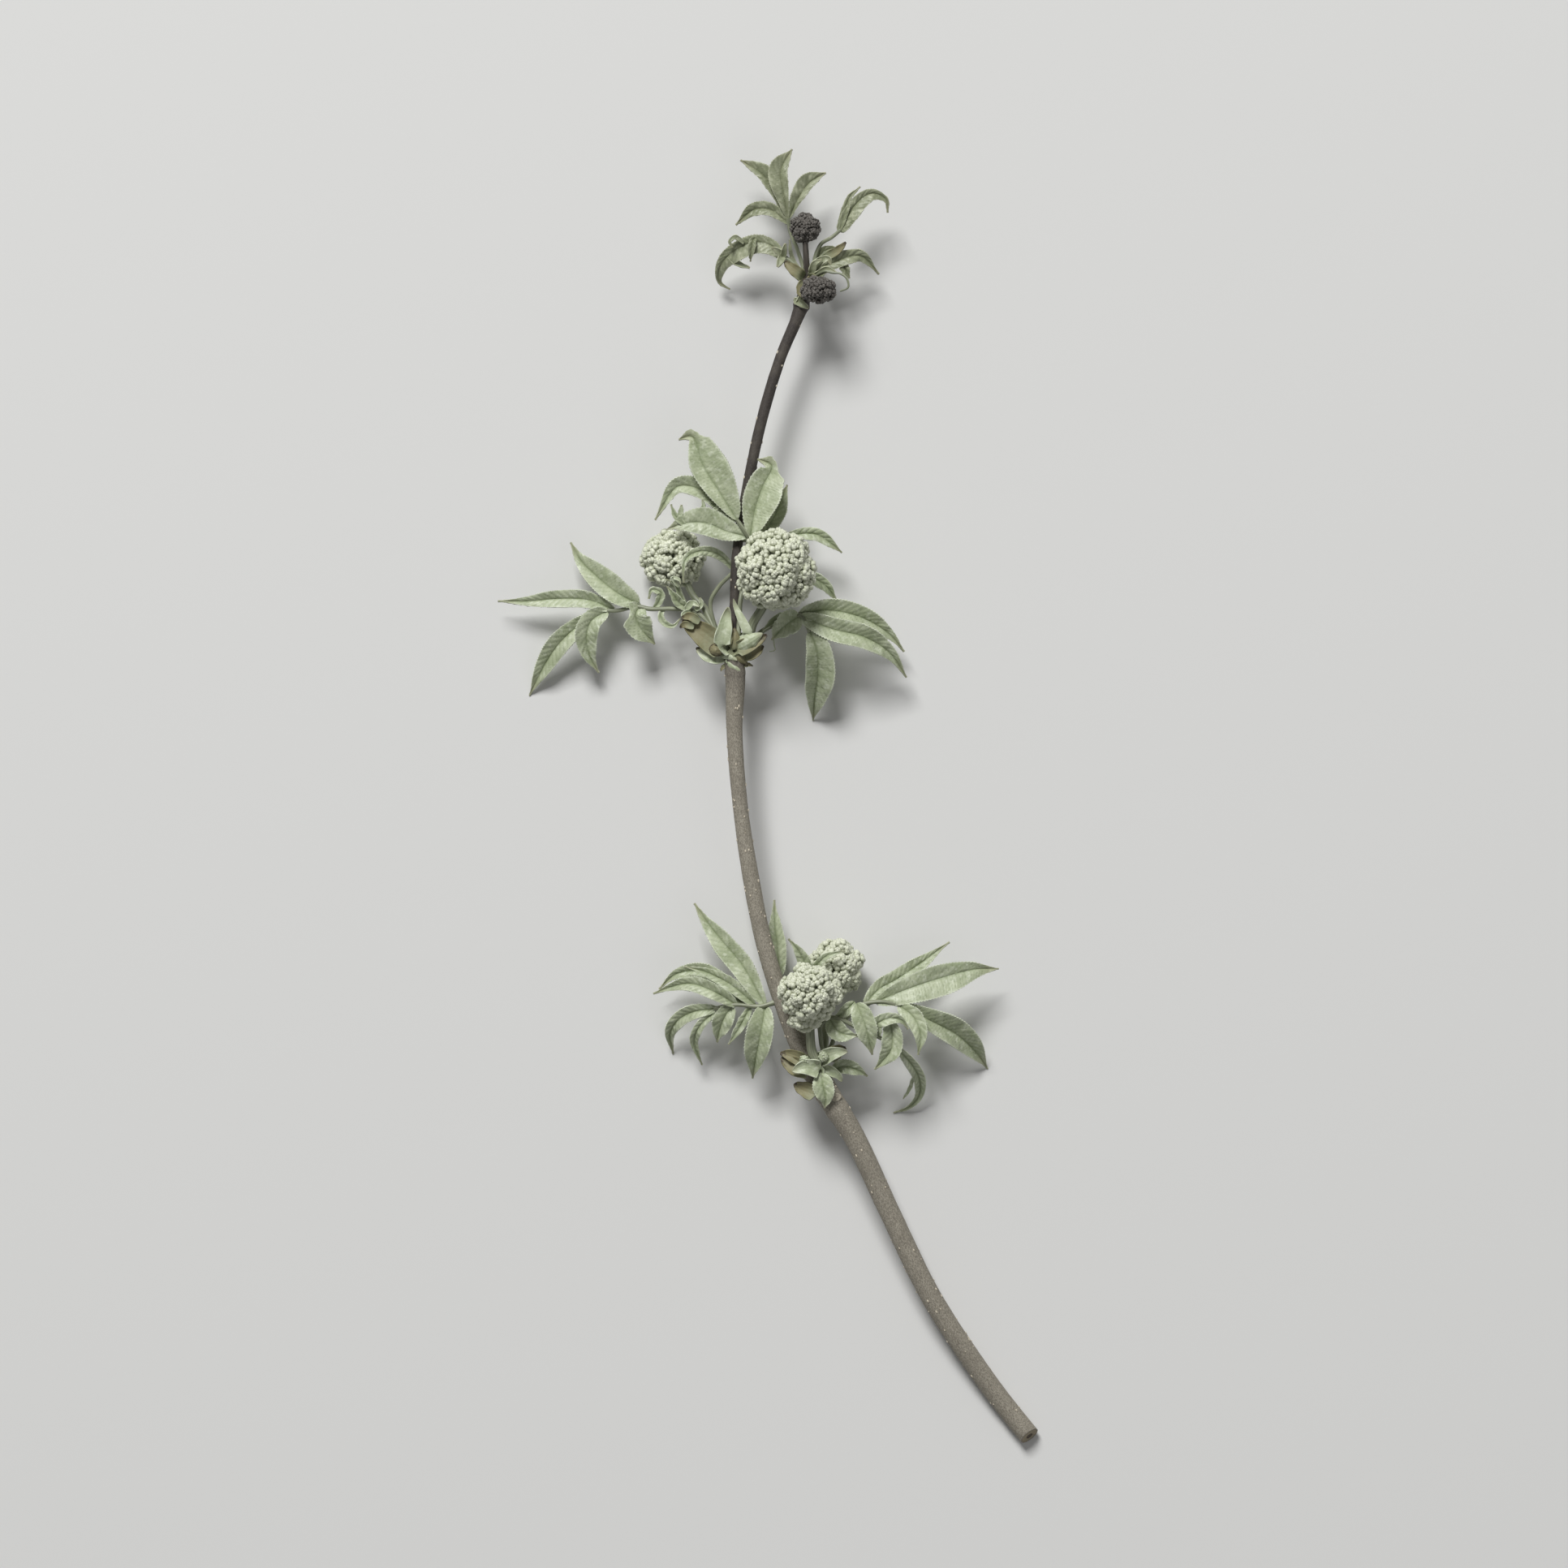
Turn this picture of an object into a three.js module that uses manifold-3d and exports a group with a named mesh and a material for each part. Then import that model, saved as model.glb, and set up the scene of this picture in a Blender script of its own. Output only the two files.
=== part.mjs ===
// A cut elder branch: a woody stem lying on its cut end and its leaf tips, with pinnate leaves at three
// nodes and round heads of closed flower buds on short stalks.
// Millimetres, +Z up. The branch lies along Y, its tip towards +Y, on the plane z = 0.
import * as THREE from "three";
import { ConvexHull } from "three/addons/math/ConvexHull.js";
import { mergeVertices } from "three/addons/utils/BufferGeometryUtils.js";
import Module from "manifold-3d";

const wasm = await Module();
wasm.setup();

// ---- Driving dimensions -------------------------------------------------------------------------

const BLADE_THICKNESS = 0.6; // a leaf's blade, thicker than life so that it is a sound solid
const BLADE_TIP_HALF_WIDTH = 0.2; // the tip of a leaflet is this far either side of its midrib
const BROADEST = 0.382; // the share of a leaflet's length at which it is broadest
const NOTCH_SHARE = 0.8; // width at the notch between two teeth, as a share of the width at the teeth
const TOOTH_LEAN = 0.3; // how far a tooth leans to the leaflet's tip, in steps along the blade
const TIGHTEST_BEND = 0.75; // a blade is never wider than this share of its midrib's bending radius
const SLIVER = 0.02; // edges shorter than this left by a join are closed up
const STEM_SIDES = 10;
const STEM_STEPS = 50;
const STALK_SIDES = 5;
const BUD_VALLEY_DEPTH = 0.15; // depth of the valley between two buds, as a share of the head's radius
const BUD_SHOULDER = 0.6; // where a bud's shoulder lies between its top and the valley round it
const BUD_SHOULDER_DROP = 0.035; // how far the shoulder lies under the bud's top, as a share of the radius

const COLOURS = {
  bark: "#7c7466",
  leaf: "#8b9a72",
  leafDark: "#59624b",
  bud: "#b9bda0",
  budDark: "#4b423e",
  scale: "#8a7a62",
};

// The stem from its cut end to its tip: x, y, z of the centre line and the radius there.
const STEM = [
  [64.6, -158.4, 2.36, 2.6],
  [58.6, -151, 2.36, 2.6],
  [52.6, -143, 3.4, 2.6],
  [39.6, -123, 6.6, 2.6],
  [29.8, -103, 8.9, 2.6],
  [20.4, -83, 11, 2.7],
  [15.4, -75, 12, 3],
  [12.4, -70, 12.4, 3.1],
  [8.8, -64.2, 12.6, 2.7],
  [3.2, -51, 13.2, 2.2],
  [-1.8, -35, 13.6, 2.1],
  [-5, -19, 13.7, 2.1],
  [-7.4, -3, 13.8, 1.9],
  [-9, 17, 14, 2],
  [-8.8, 29, 14, 2.5],
  [-9, 34.6, 14, 2.6],
  [-9.1, 38.4, 14, 1.6],
  [-9, 49, 14, 1.2],
  [-8.4, 61, 14, 1.25],
  [-5.8, 77, 13.9, 1.35],
  [-2.4, 93, 13.6, 1.4],
  [2.4, 109, 13.2, 1.4],
  [6, 117.6, 12.9, 1.5],
  [7.6, 122, 12.7, 1.9],
  [8.4, 125.4, 12.6, 1.6],
  [8.8, 128, 12.5, 1.4],
];
const LEAF_SCAR = { centre: [15.6, -73.4, 14], radii: [1.7, 1.3, 1.6] };

// Heads of closed buds: centre, radii along x, y and z, and how many buds cover each. A head's extra
// tiers are small clusters that hang below it. Every head ends in its own stalk at the stem.
const HEADS = [
  {
    name: "bud_head_middle_right",
    colour: COLOURS.bud,
    balls: [{ centre: [1.2, 56.4, 22], radii: [10.4, 10.6, 10.2], buds: 66 }],
    stalk: { line: [[-6, 38.6, 15.2], [-4.4, 43.4, 15.8], [-2, 47.4, 17.8], [0, 52, 20]], radii: [1.15, 1.1] },
  },
  {
    name: "bud_head_middle_left",
    colour: COLOURS.bud,
    balls: [{ centre: [-24.2, 59.4, 8.03], radii: [8.5, 7.9, 8.2], buds: 46 }],
    stalk: {
      line: [[-12.4, 37.8, 13.6], [-14, 42, 13], [-16.6, 47.4, 11.5], [-19, 50, 10.5], [-22.4, 57, 9]],
      radii: [0.85, 0.85],
    },
  },
  {
    name: "bud_head_lower_front",
    colour: COLOURS.bud,
    balls: [
      { centre: [9.6, -47.4, 22], radii: [8.4, 7.6, 8], buds: 46 },
      { centre: [8.2, -54.6, 21.6], radii: [4.6, 2.8, 3.2], buds: 12 },
    ],
    stalk: { line: [[11.2, -64.6, 16.9], [10, -61.6, 17.6], [9.6, -55.4, 19.5], [9.6, -51, 21]], radii: [1.2, 1.1] },
  },
  {
    name: "bud_head_lower_back",
    colour: COLOURS.bud,
    balls: [{ centre: [16, -41.8, 7.38], radii: [7.8, 7.8, 7.6], buds: 34 }],
    stalk: { line: [[12.6, -64.2, 10.2], [13.6, -55, 9], [14.8, -48, 8]], radii: [1, 1] },
  },
  {
    name: "bud_head_top",
    colour: COLOURS.budDark,
    balls: [{ centre: [8.4, 140.7, 14.5], radii: [4, 4, 3.9], buds: 22 }],
    stalk: { line: [[8.9, 128.9, 12.8], [8.6, 134, 14.2], [8.4, 137.4, 14.5]], radii: [0.8, 0.7] },
  },
  {
    name: "bud_mass_top",
    colour: COLOURS.budDark,
    balls: [{ centre: [11.6, 125.4, 18.2], radii: [4.6, 3.8, 3.6], buds: 16 }],
    stalk: { line: [[9.4, 124.4, 15], [10.2, 124.8, 16], [11, 125.2, 17.4]], radii: [0.9, 1] },
  },
];

// Pinnate leaves. Stalks are round, with the radius at each end. A leaflet is its midrib's line, its
// full width, how far each half is folded up from flat in degrees, and its teeth on a side; where its
// halves differ, the share of the half width that its left and right side have; and the share of its
// length at which it is broadest, where that isn't the common one.
const LEAVES = [
  {
    name: "leaf_middle_upper",
    stalks: [
      {
        line: [
          [-8.2, 40.4, 16.2],
          [-7.8, 44, 15.9],
          [-7.6, 48, 15.7],
          [-7, 52, 14.8],
          [-6.4, 57, 13.9],
          [-6, 61, 15.2],
          [-5.4, 64.2, 17.2],
        ],
        radii: [0.6, 0.6],
      },
      { line: [[-5.4, 64.2, 17.2], [-8.4, 68.8, 17.3]], radii: [0.6, 0.5] },
    ],
    leaflets: [
      { line: [[-8.4, 68.8, 17.3], [-12.4, 75.2, 17.5], [-16.6, 82, 17], [-19.4, 89.2, 16.5], [-22.8, 88.6, 16]], width: 8.8, sides: [0.75, 1.3], peak: 0.52, fold: 28, teeth: 5 },
      { line: [[-8.6, 68.6, 17], [-13, 73.4, 15.6], [-18, 76.6, 15], [-23, 77, 15], [-28.6, 68.8, 14.6]], width: 4.4, sides: [1, 1.25], fold: 24, teeth: 5 },
      { line: [[-5.8, 64.6, 17], [-11, 66, 16.6], [-16, 68, 16.4], [-21, 68, 16.3], [-25.8, 66.4, 16]], width: 7.6, sides: [0.8, 1], peak: 0.5, fold: 24, teeth: 5 },
      { line: [[-5, 64.8, 17.4], [-4, 71, 17.6], [-2, 77, 17.6], [0.2, 82, 17.4], [-3.4, 83.8, 17]], width: 8, sides: [0.95, 1.3], peak: 0.5, fold: 26, teeth: 5 },
      { line: [[-21.2, 67.4, 16.3], [-23.6, 70, 16.6], [-24.6, 72.6, 16.8]], width: 1.6, fold: 15, teeth: 2 },
    ],
  },
  {
    name: "leaf_middle_back",
    stalks: [
      {
        line: [
          [-10.6, 37, 10.8],
          [-14, 43.4, 8],
          [-15, 48.6, 7.8],
          [-12.8, 52.6, 9],
          [-9.6, 55.8, 10],
          [-5.6, 60.2, 11],
          [-3, 63.6, 11.5],
        ],
        radii: [0.55, 0.55],
      },
      { line: [[-3, 63.6, 11.5], [1, 61, 10.6], [7, 56, 11]], radii: [0.5, 0.5] },
    ],
    leaflets: [
      { line: [[-9, 56.6, 10.3], [-13, 60.4, 12.5], [-18, 61, 16], [-21, 59, 17.9], [-21.6, 56, 17.9], [-21.4, 53.2, 17.2]], width: 2.4, fold: 15, teeth: 5 },
      { line: [[-3, 63.8, 11.6], [0.4, 69, 12], [2.6, 74, 12], [4, 77.6, 12]], width: 4.8, peak: 0.5, fold: 20, teeth: 4 },
      { line: [[-1, 62.2, 11.2], [3, 64.2, 11.6], [7, 65.4, 12], [11, 65.4, 12], [14.4, 63.4, 11.5], [17.6, 60.8, 10.5]], width: 3.2, peak: 0.6, fold: 20, teeth: 4 },
      { line: [[7, 56, 11], [10, 54.8, 11], [13.6, 52.6, 10], [16.4, 48.6, 8.2]], width: 3.2, fold: 20, teeth: 3 },
    ],
  },
  {
    name: "leaf_middle_left",
    stalks: [
      {
        line: [[-18.4, 46.2, 12.2], [-24, 47, 12], [-30, 47, 11], [-33, 47.6, 10.4], [-38, 46.6, 9.4], [-40.4, 46.6, 8.9]],
        radii: [0.6, 0.5],
      },
    ],
    leaflets: [
      { line: [[-32.6, 48, 10.6], [-38, 51, 10], [-43, 55, 9], [-47, 59, 8], [-49.6, 63.6, 7]], width: 6, sides: [1, 1.15], fold: 26, teeth: 5 },
      { line: [[-38.8, 46.8, 9.2], [-45, 49.2, 8.8], [-52, 49.6, 7.6], [-60, 49, 6.5], [-67.6, 49, 6]], width: 4.4, fold: 24, teeth: 5 },
      { line: [[-40, 46.4, 8.8], [-47.6, 42.8, 7.4], [-52, 39, 6.2], [-55.6, 34, 4.2], [-60, 25.6, 0.62]], width: 5.4, peak: 0.5, fold: 24, teeth: 5 },
      { line: [[-40.4, 46.6, 9.2], [-44.4, 44, 9.6], [-45.6, 40, 8.6], [-44.8, 35.4, 7], [-42.6, 31.2, 5.5]], width: 5.6, fold: 24, teeth: 5 },
      { line: [[-32, 48, 10.8], [-33.4, 45.6, 11.4], [-32.4, 42.6, 10.8], [-28.6, 38.2, 9]], width: 6.8, fold: 24, teeth: 4 },
      { line: [[-20, 47, 12.4], [-22.6, 48.4, 13.4], [-24.2, 50.6, 14.6], [-25.6, 52.4, 15]], width: 2.4, fold: 20, teeth: 3 },
      { line: [[-21, 47.2, 12.4], [-22.6, 51, 14.4], [-23.6, 53, 15.6], [-25.4, 54, 16.6]], width: 1.4, fold: 15, teeth: 2 },
      { line: [[-29, 47, 11.4], [-27.6, 48.8, 12], [-27.2, 51, 12.6], [-29.4, 51.6, 12.8], [-30.2, 49.4, 12.6]], width: 2, fold: 20, teeth: 3 },
      { line: [[-26, 47.4, 11.6], [-27.2, 45.6, 12], [-26.2, 43.4, 12.2], [-24, 42.8, 12], [-22.4, 44.6, 12]], width: 1.6, fold: 15, teeth: 3 },
    ],
  },
  {
    name: "leaf_middle_right",
    stalks: [
      { line: [[-6, 38.2, 12.2], [-2, 41.6, 11.8], [3, 44, 12.5], [7.4, 45.6, 13.5]], radii: [0.6, 0.6] },
      { line: [[7, 45.6, 13.4], [8.6, 43.6, 13.6], [9.6, 41.2, 13.9]], radii: [0.6, 0.55] },
    ],
    leaflets: [
      { line: [[6.8, 45.6, 13.4], [14, 46.6, 12.2], [22, 45, 10.5], [29, 41, 8], [33, 36.4, 6]], width: 6, fold: 26, teeth: 5 },
      { line: [[7.2, 45.2, 13.7], [15, 42, 14.6], [23, 40, 13.5], [29, 36.4, 11], [33.6, 30, 7.5]], width: 6, fold: 26, teeth: 5 },
      { line: [[9.6, 41.4, 14], [11.2, 37, 13.6], [11.6, 31, 10.5], [10.8, 25, 6], [10.4, 19.2, 0.5]], width: 7.6, sides: [1.1, 0.8], fold: 26, teeth: 5 },
      { line: [[7.2, 45.4, 13.6], [3, 42.4, 16], [0, 39.2, 14.5]], width: 6, fold: 20, teeth: 3 },
      { line: [[6, 45.6, 14], [1.4, 44.4, 14.2], [-2.2, 41.6, 13.6]], width: 2.2, fold: 15, teeth: 3 },
    ],
  },
  {
    name: "leaf_lower_left",
    stalks: [
      { line: [[-0.2, -50.4, 13.6], [-3, -51, 13.6], [-9, -50.6, 13], [-14, -51.6, 12.4]], radii: [0.6, 0.5] },
    ],
    leaflets: [
      { line: [[-1.6, -50.6, 13.6], [-7, -41, 12.6], [-12, -35, 11.5], [-16, -30, 10.5], [-19, -25.6, 9.5]], width: 6.4, sides: [1, 0.8], peak: 0.45, fold: 28, teeth: 5 },
      { line: [[-6.4, -50.6, 12.8], [-16, -43, 10], [-23, -43, 8.4], [-27.8, -47, 6.8]], width: 4.8, fold: 24, teeth: 5 },
      { line: [[-4, -50.6, 13.5], [-10, -45.6, 13.8], [-16, -42.6, 13.2], [-21.4, -41.2, 12.5]], width: 3.4, fold: 24, teeth: 4 },
      { line: [[-8.4, -50.8, 13.2], [-14, -47.4, 14.6], [-20, -45.4, 13.6], [-25, -46.4, 12], [-29.2, -48, 10.5]], width: 4, fold: 22, teeth: 5 },
      { line: [[-13.2, -51.6, 12.4], [-19, -52.4, 10.5], [-23, -54.6, 8], [-25, -58, 5], [-24.2, -63.4, 0.53]], width: 3.8, fold: 24, teeth: 5 },
      { line: [[-13.6, -51.8, 12.3], [-18, -56.6, 10.5], [-19, -60, 8], [-17, -66, 4]], width: 2.4, fold: 20, teeth: 3 },
      { line: [[-9.6, -50.8, 12.8], [-11.6, -54, 12.2], [-12.8, -57.4, 10.5], [-13.4, -60.2, 9]], width: 5, fold: 24, teeth: 3 },
      { line: [[-5, -51, 13.4], [-8, -56.6, 12.6], [-10.6, -60.6, 11]], width: 2.4, fold: 18, teeth: 3 },
      { line: [[-1.4, -50.8, 13.6], [-2.4, -57, 14.2], [-3.6, -63, 12], [-4.6, -69.2, 8]], width: 7.2, sides: [0.85, 1], fold: 26, teeth: 5 },
    ],
  },
  {
    name: "leaf_lower_behind",
    stalks: [{ line: [[7.2, -61.4, 9.2], [4.4, -54, 8], [2.6, -47.4, 8], [2, -43.6, 8]], radii: [0.5, 0.5] }],
    leaflets: [
      { line: [[2, -44, 8], [1.6, -37, 8.4], [1, -31, 8.6], [0.8, -24.8, 8.4]], width: 4.4, fold: 20, teeth: 5 },
    ],
  },
  {
    name: "leaf_lower_between",
    stalks: [
      { line: [[12.4, -63.4, 13.5], [12, -57, 13.2], [10.4, -50, 12.8], [9.2, -44, 13]], radii: [0.5, 0.5] },
    ],
    leaflets: [
      { line: [[9.2, -44.4, 13], [8.2, -40.2, 14.2], [6.8, -37.4, 15.2], [4.4, -34.4, 16]], width: 3.2, fold: 20, teeth: 3 },
      { line: [[9.4, -44.6, 13], [11.2, -41, 15.4], [13.6, -38.6, 16.8], [16, -37.8, 17], [18.4, -37.2, 16.4]], width: 2, fold: 15, teeth: 3 },
    ],
  },
  {
    name: "leaf_lower_right",
    stalks: [
      {
        line: [[13.4, -63.8, 12.2], [16, -58, 12.6], [18.4, -54.2, 13], [22, -50.8, 13.6], [27, -49.8, 14], [31.6, -50.6, 14.2]],
        radii: [0.6, 0.5],
      },
    ],
    leaflets: [
      { line: [[23.2, -50.6, 13.6], [26.4, -47, 12.4], [31, -44.4, 11], [37, -40.4, 9], [44.2, -35.2, 7]], width: 4.8, fold: 24, teeth: 5 },
      { line: [[25.6, -50, 14], [34, -46.6, 14.4], [42, -44, 13], [50, -42, 11], [56.4, -41.8, 9]], width: 6.8, sides: [1, 1.3], peak: 0.48, fold: 28, teeth: 6 },
      { line: [[31.6, -50.8, 14.4], [39, -54.4, 12.5], [46, -58.2, 8.5], [51, -63, 4], [53.8, -67, 0.56]], width: 6, sides: [1.25, 1], peak: 0.5, fold: 26, teeth: 6 },
      { line: [[31.4, -50.6, 14.4], [35.2, -53.8, 16.4], [36.8, -58, 17], [36.2, -63, 16]], width: 4.4, fold: 22, teeth: 4 },
    ],
  },
  {
    name: "leaf_lower_front",
    stalks: [
      {
        line: [
          [12.8, -64.2, 14.8],
          [12.2, -59, 16],
          [12.2, -55.6, 16.2],
          [15, -53.6, 18],
          [18, -54.4, 19.4],
          [22, -56.6, 20],
          [27, -58.6, 19],
          [31.4, -61.4, 17],
        ],
        radii: [0.5, 0.5],
      },
    ],
    leaflets: [
      { line: [[14.4, -54, 17.8], [16.8, -57.2, 19.2], [21.4, -58.2, 19.8]], width: 4.8, fold: 20, teeth: 3 },
      { line: [[21, -50, 19.5], [22.4, -53.4, 20.3], [23.6, -57, 20], [25, -63, 17.5]], width: 5.6, fold: 24, teeth: 5 },
      { line: [[20.6, -49.8, 18.6], [17.6, -52.6, 18.8], [15.2, -54, 18]], width: 2.8, fold: 20, teeth: 3 },
      { line: [[26.4, -58.4, 19.2], [26, -55.4, 20], [29, -53.8, 20.6], [32, -54.2, 20.4], [33.8, -56.6, 19.6]], width: 3.2, fold: 20, teeth: 3 },
      { line: [[29.2, -54.4, 19.6], [29.8, -58, 18.4], [29.6, -61.4, 17.8], [28, -63.8, 16.8], [25.4, -66.6, 15.5]], width: 5.2, fold: 24, teeth: 5 },
      { line: [[31, -61.2, 17.2], [34.4, -65, 13], [36.6, -69, 8.5], [36.6, -73.4, 4], [34, -76.4, 1.6], [30.2, -77.8, 0.63]], width: 3, fold: 20, teeth: 5 },
    ],
  },
  {
    name: "leaf_lower_side",
    stalks: [],
    leaflets: [{ line: [[14.8, -67.2, 13.4], [17.6, -65.8, 13.6], [21, -66.6, 12.8], [24, -68.4, 11]], width: 3.6, fold: 22, teeth: 3 }],
  },
  {
    name: "leaf_lower_face",
    stalks: [],
    leaflets: [{ line: [[12.2, -67.4, 16.6], [12.8, -70.4, 17.2], [13.4, -73.4, 16.8], [13.2, -76.2, 15.6]], width: 5.2, fold: 20, teeth: 4 }],
  },
  {
    name: "leaf_top_upper",
    stalks: [{ line: [[8.2, 130.4, 10.6], [6.4, 136, 10.2], [4.8, 140, 10.5], [4.2, 143.4, 11.2]], radii: [0.5, 0.5] }],
    leaflets: [
      { line: [[4, 143.2, 11.2], [1, 149.4, 11.5], [-2, 154, 11.5], [-7.6, 157.8, 10.5]], width: 3, sides: [0.9, 1.7], peak: 0.6, fold: 22, teeth: 4 },
      { line: [[4.2, 143.2, 11.3], [3, 150, 12.5], [2.4, 155, 12.6], [5.2, 160.4, 12]], width: 3.8, sides: [1.6, 0.9], peak: 0.6, fold: 22, teeth: 5 },
      { line: [[4.4, 143, 11.2], [6.6, 148, 12], [9.4, 152, 12.2], [13.6, 154.6, 11.6]], width: 3.2, sides: [1.6, 0.9], peak: 0.6, fold: 22, teeth: 4 },
      { line: [[4.4, 142, 11], [0, 145.4, 11], [-4, 145.6, 10.4], [-8.8, 141.8, 9]], width: 3, sides: [1.1, 1.2], peak: 0.5, fold: 22, teeth: 4 },
    ],
  },
  {
    name: "leaf_top_right",
    stalks: [
      { line: [[10.6, 129.6, 12.2], [10.8, 133.4, 12.6], [12.4, 137, 12.6], [15, 138.6, 12.8], [17.2, 140.4, 13]], radii: [0.5, 0.45] },
    ],
    leaflets: [
      { line: [[17, 140, 13], [19, 144, 13.4], [21.6, 147.4, 13.4], [25, 149.4, 13], [28.4, 147.8, 12.4], [28.8, 144.6, 11.8]], width: 3.2, sides: [1, 1.5], peak: 0.34, fold: 20, teeth: 5 },
      { line: [[16.6, 139.8, 13], [18.2, 145, 13.8], [19.4, 148.4, 14], [22, 151, 14]], width: 2, fold: 18, teeth: 3 },
      { line: [[10.6, 131, 12.4], [14, 131.8, 12.4], [19, 133.8, 12], [22.4, 134, 10.5], [26.8, 129.6, 7.6]], width: 3.6, fold: 20, teeth: 4 },
      { line: [[17, 133, 12.2], [18.4, 130.6, 12], [19.4, 128.4, 11.4]], width: 2.4, fold: 18, teeth: 3 },
      { line: [[10.6, 133, 12.5], [14, 135.6, 11.8], [16.8, 136, 11.4]], width: 2.4, fold: 18, teeth: 3 },
    ],
  },
  {
    name: "leaf_top_left",
    stalks: [{ line: [[7.4, 129.6, 12.6], [5.6, 132, 13], [3, 134, 12.6]], radii: [0.5, 0.5] }],
    leaflets: [
      { line: [[3.4, 133.6, 12.6], [0, 136.6, 12.4], [-4, 137.4, 12], [-9, 135.4, 10.5], [-12.4, 132, 8], [-12.8, 128, 5], [-10, 126.2, 4]], width: 4.8, sides: [1.2, 0.8], fold: 22, teeth: 6 },
      { line: [[-4, 137.4, 12], [-5.6, 135.4, 12.2], [-6, 132.6, 11.4]], width: 1.4, fold: 15, teeth: 2 },
    ],
  },
];

// Bud scales: short blunt blades without teeth at the nodes, with the small axillary bud among them.
const SCALES = [
  {
    name: "bud_scales_middle",
    blades: [
      { line: [[-11.8, 37, 16], [-16.4, 40.4, 16], [-22, 44.6, 14.8]], width: 6, fold: 20 },
      { line: [[-12.4, 35.2, 14.6], [-15.2, 35.8, 14.6], [-18.6, 37.4, 13]], width: 3.2, fold: 20 },
      { line: [[-11.6, 37.4, 17.6], [-11.2, 42, 18.2], [-10.8, 46.6, 17]], width: 4, fold: 20 },
    ],
    bud: { centre: [-13.4, 36.8, 16.3], radii: [1.9, 1.7, 2.1] },
  },
  { name: "bud_scale_middle_right", blades: [{ line: [[-8.4, 36.8, 17.6], [-4.8, 38.4, 18.4], [-1, 40.4, 18.2]], width: 3.8, fold: 24 }] },
  { name: "bud_scale_lower_left", blades: [{ line: [[9.6, -66.2, 16.4], [6.4, -65.8, 15.8], [2.4, -63.6, 14]], width: 4.8, fold: 24 }] },
  { name: "bud_scale_lower_round", blades: [{ line: [[11.2, -72.4, 16], [8.4, -71.4, 15], [5.4, -70.2, 12.8]], width: 4, fold: 24 }] },
  { name: "bud_scale_lower_right", blades: [{ line: [[13.8, -63.8, 17.2], [15.6, -62.4, 17.6], [18.4, -61, 17.2]], width: 3.6, fold: 20 }] },
  { name: "bud_scale_top", blades: [{ line: [[7, 129.4, 15], [5.2, 130.8, 15.2], [3.2, 132.6, 14.6]], width: 2.8, fold: 20 }] },
];

// ---- Geometry helpers ---------------------------------------------------------------------------

const UP = new THREE.Vector3(0, 0, 1);

function curveThrough(points) {
  const vectors = points.map(([x, y, z]) => new THREE.Vector3(x, y, z));
  return new THREE.CatmullRomCurve3(vectors, false, "centripetal");
}

// A BufferGeometry from a list of vertices and a list of faces that index it.
function geometryOf(vertices, faces) {
  const geometry = new THREE.BufferGeometry();
  geometry.setFromPoints(vertices);
  geometry.setIndex(faces.flat());
  return geometry;
}

// Two triangles for the quad a, b, c, d, which runs anticlockwise seen from outside.
function quad(a, b, c, d) {
  return [
    [a, b, c],
    [a, c, d],
  ];
}

// A geometry as a manifold-3d solid.
function solidOf(geometry) {
  const bare = new THREE.BufferGeometry();
  bare.setAttribute("position", geometry.getAttribute("position"));
  bare.setIndex(geometry.index);
  const merged = mergeVertices(bare, 1e-4);
  const mesh = new wasm.Mesh({
    numProp: 3,
    vertProperties: merged.attributes.position.array,
    triVerts: new Uint32Array(merged.index.array),
  });
  return new wasm.Manifold(mesh);
}

function geometryOfSolid(solid) {
  const mesh = solid.getMesh();
  const geometry = new THREE.BufferGeometry();
  geometry.setAttribute("position", new THREE.BufferAttribute(mesh.vertProperties, 3));
  geometry.setIndex(new THREE.BufferAttribute(mesh.triVerts, 1));
  geometry.computeVertexNormals();
  return geometry;
}

// The pieces joined in one solid, without the slivers that crossing blades leave.
function union(geometries) {
  const joined = geometries.map(solidOf).reduce((whole, piece) => whole.add(piece));
  return joined.asOriginal().simplify(SLIVER);
}

// ---- Stalks and stem ----------------------------------------------------------------------------

// A round rod along a curve, closed at both ends. radiusAt gives its radius at each share of its length.
function rod(curve, radiusAt, steps, sides) {
  const frames = curve.computeFrenetFrames(steps, false);
  const vertices = [];
  for (let i = 0; i <= steps; i++) {
    const centre = curve.getPointAt(i / steps);
    for (let j = 0; j < sides; j++) {
      const angle = (2 * Math.PI * j) / sides;
      vertices.push(
        centre
          .clone()
          .addScaledVector(frames.normals[i], radiusAt(i / steps) * Math.cos(angle))
          .addScaledVector(frames.binormals[i], radiusAt(i / steps) * Math.sin(angle)),
      );
    }
  }
  const faces = [];
  for (let i = 0; i < steps; i++) {
    for (let j = 0; j < sides; j++) {
      const next = (j + 1) % sides;
      faces.push(...quad(i * sides + j, i * sides + next, (i + 1) * sides + next, (i + 1) * sides + j));
    }
  }
  const last = steps * sides;
  for (let j = 1; j < sides - 1; j++) {
    faces.push([0, j + 1, j]);
    faces.push([last, last + j, last + j + 1]);
  }
  return geometryOf(vertices, faces);
}

function stalkGeometry({ line, radii }) {
  const curve = curveThrough(line);
  const steps = line.length;
  return rod(curve, (share) => THREE.MathUtils.lerp(radii[0], radii[1], share), steps, STALK_SIDES);
}

function ellipsoid(centre, radii, around, down) {
  const ball = new THREE.SphereGeometry(1, around, down);
  ball.scale(...radii);
  ball.translate(...centre);
  return ball;
}

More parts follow.
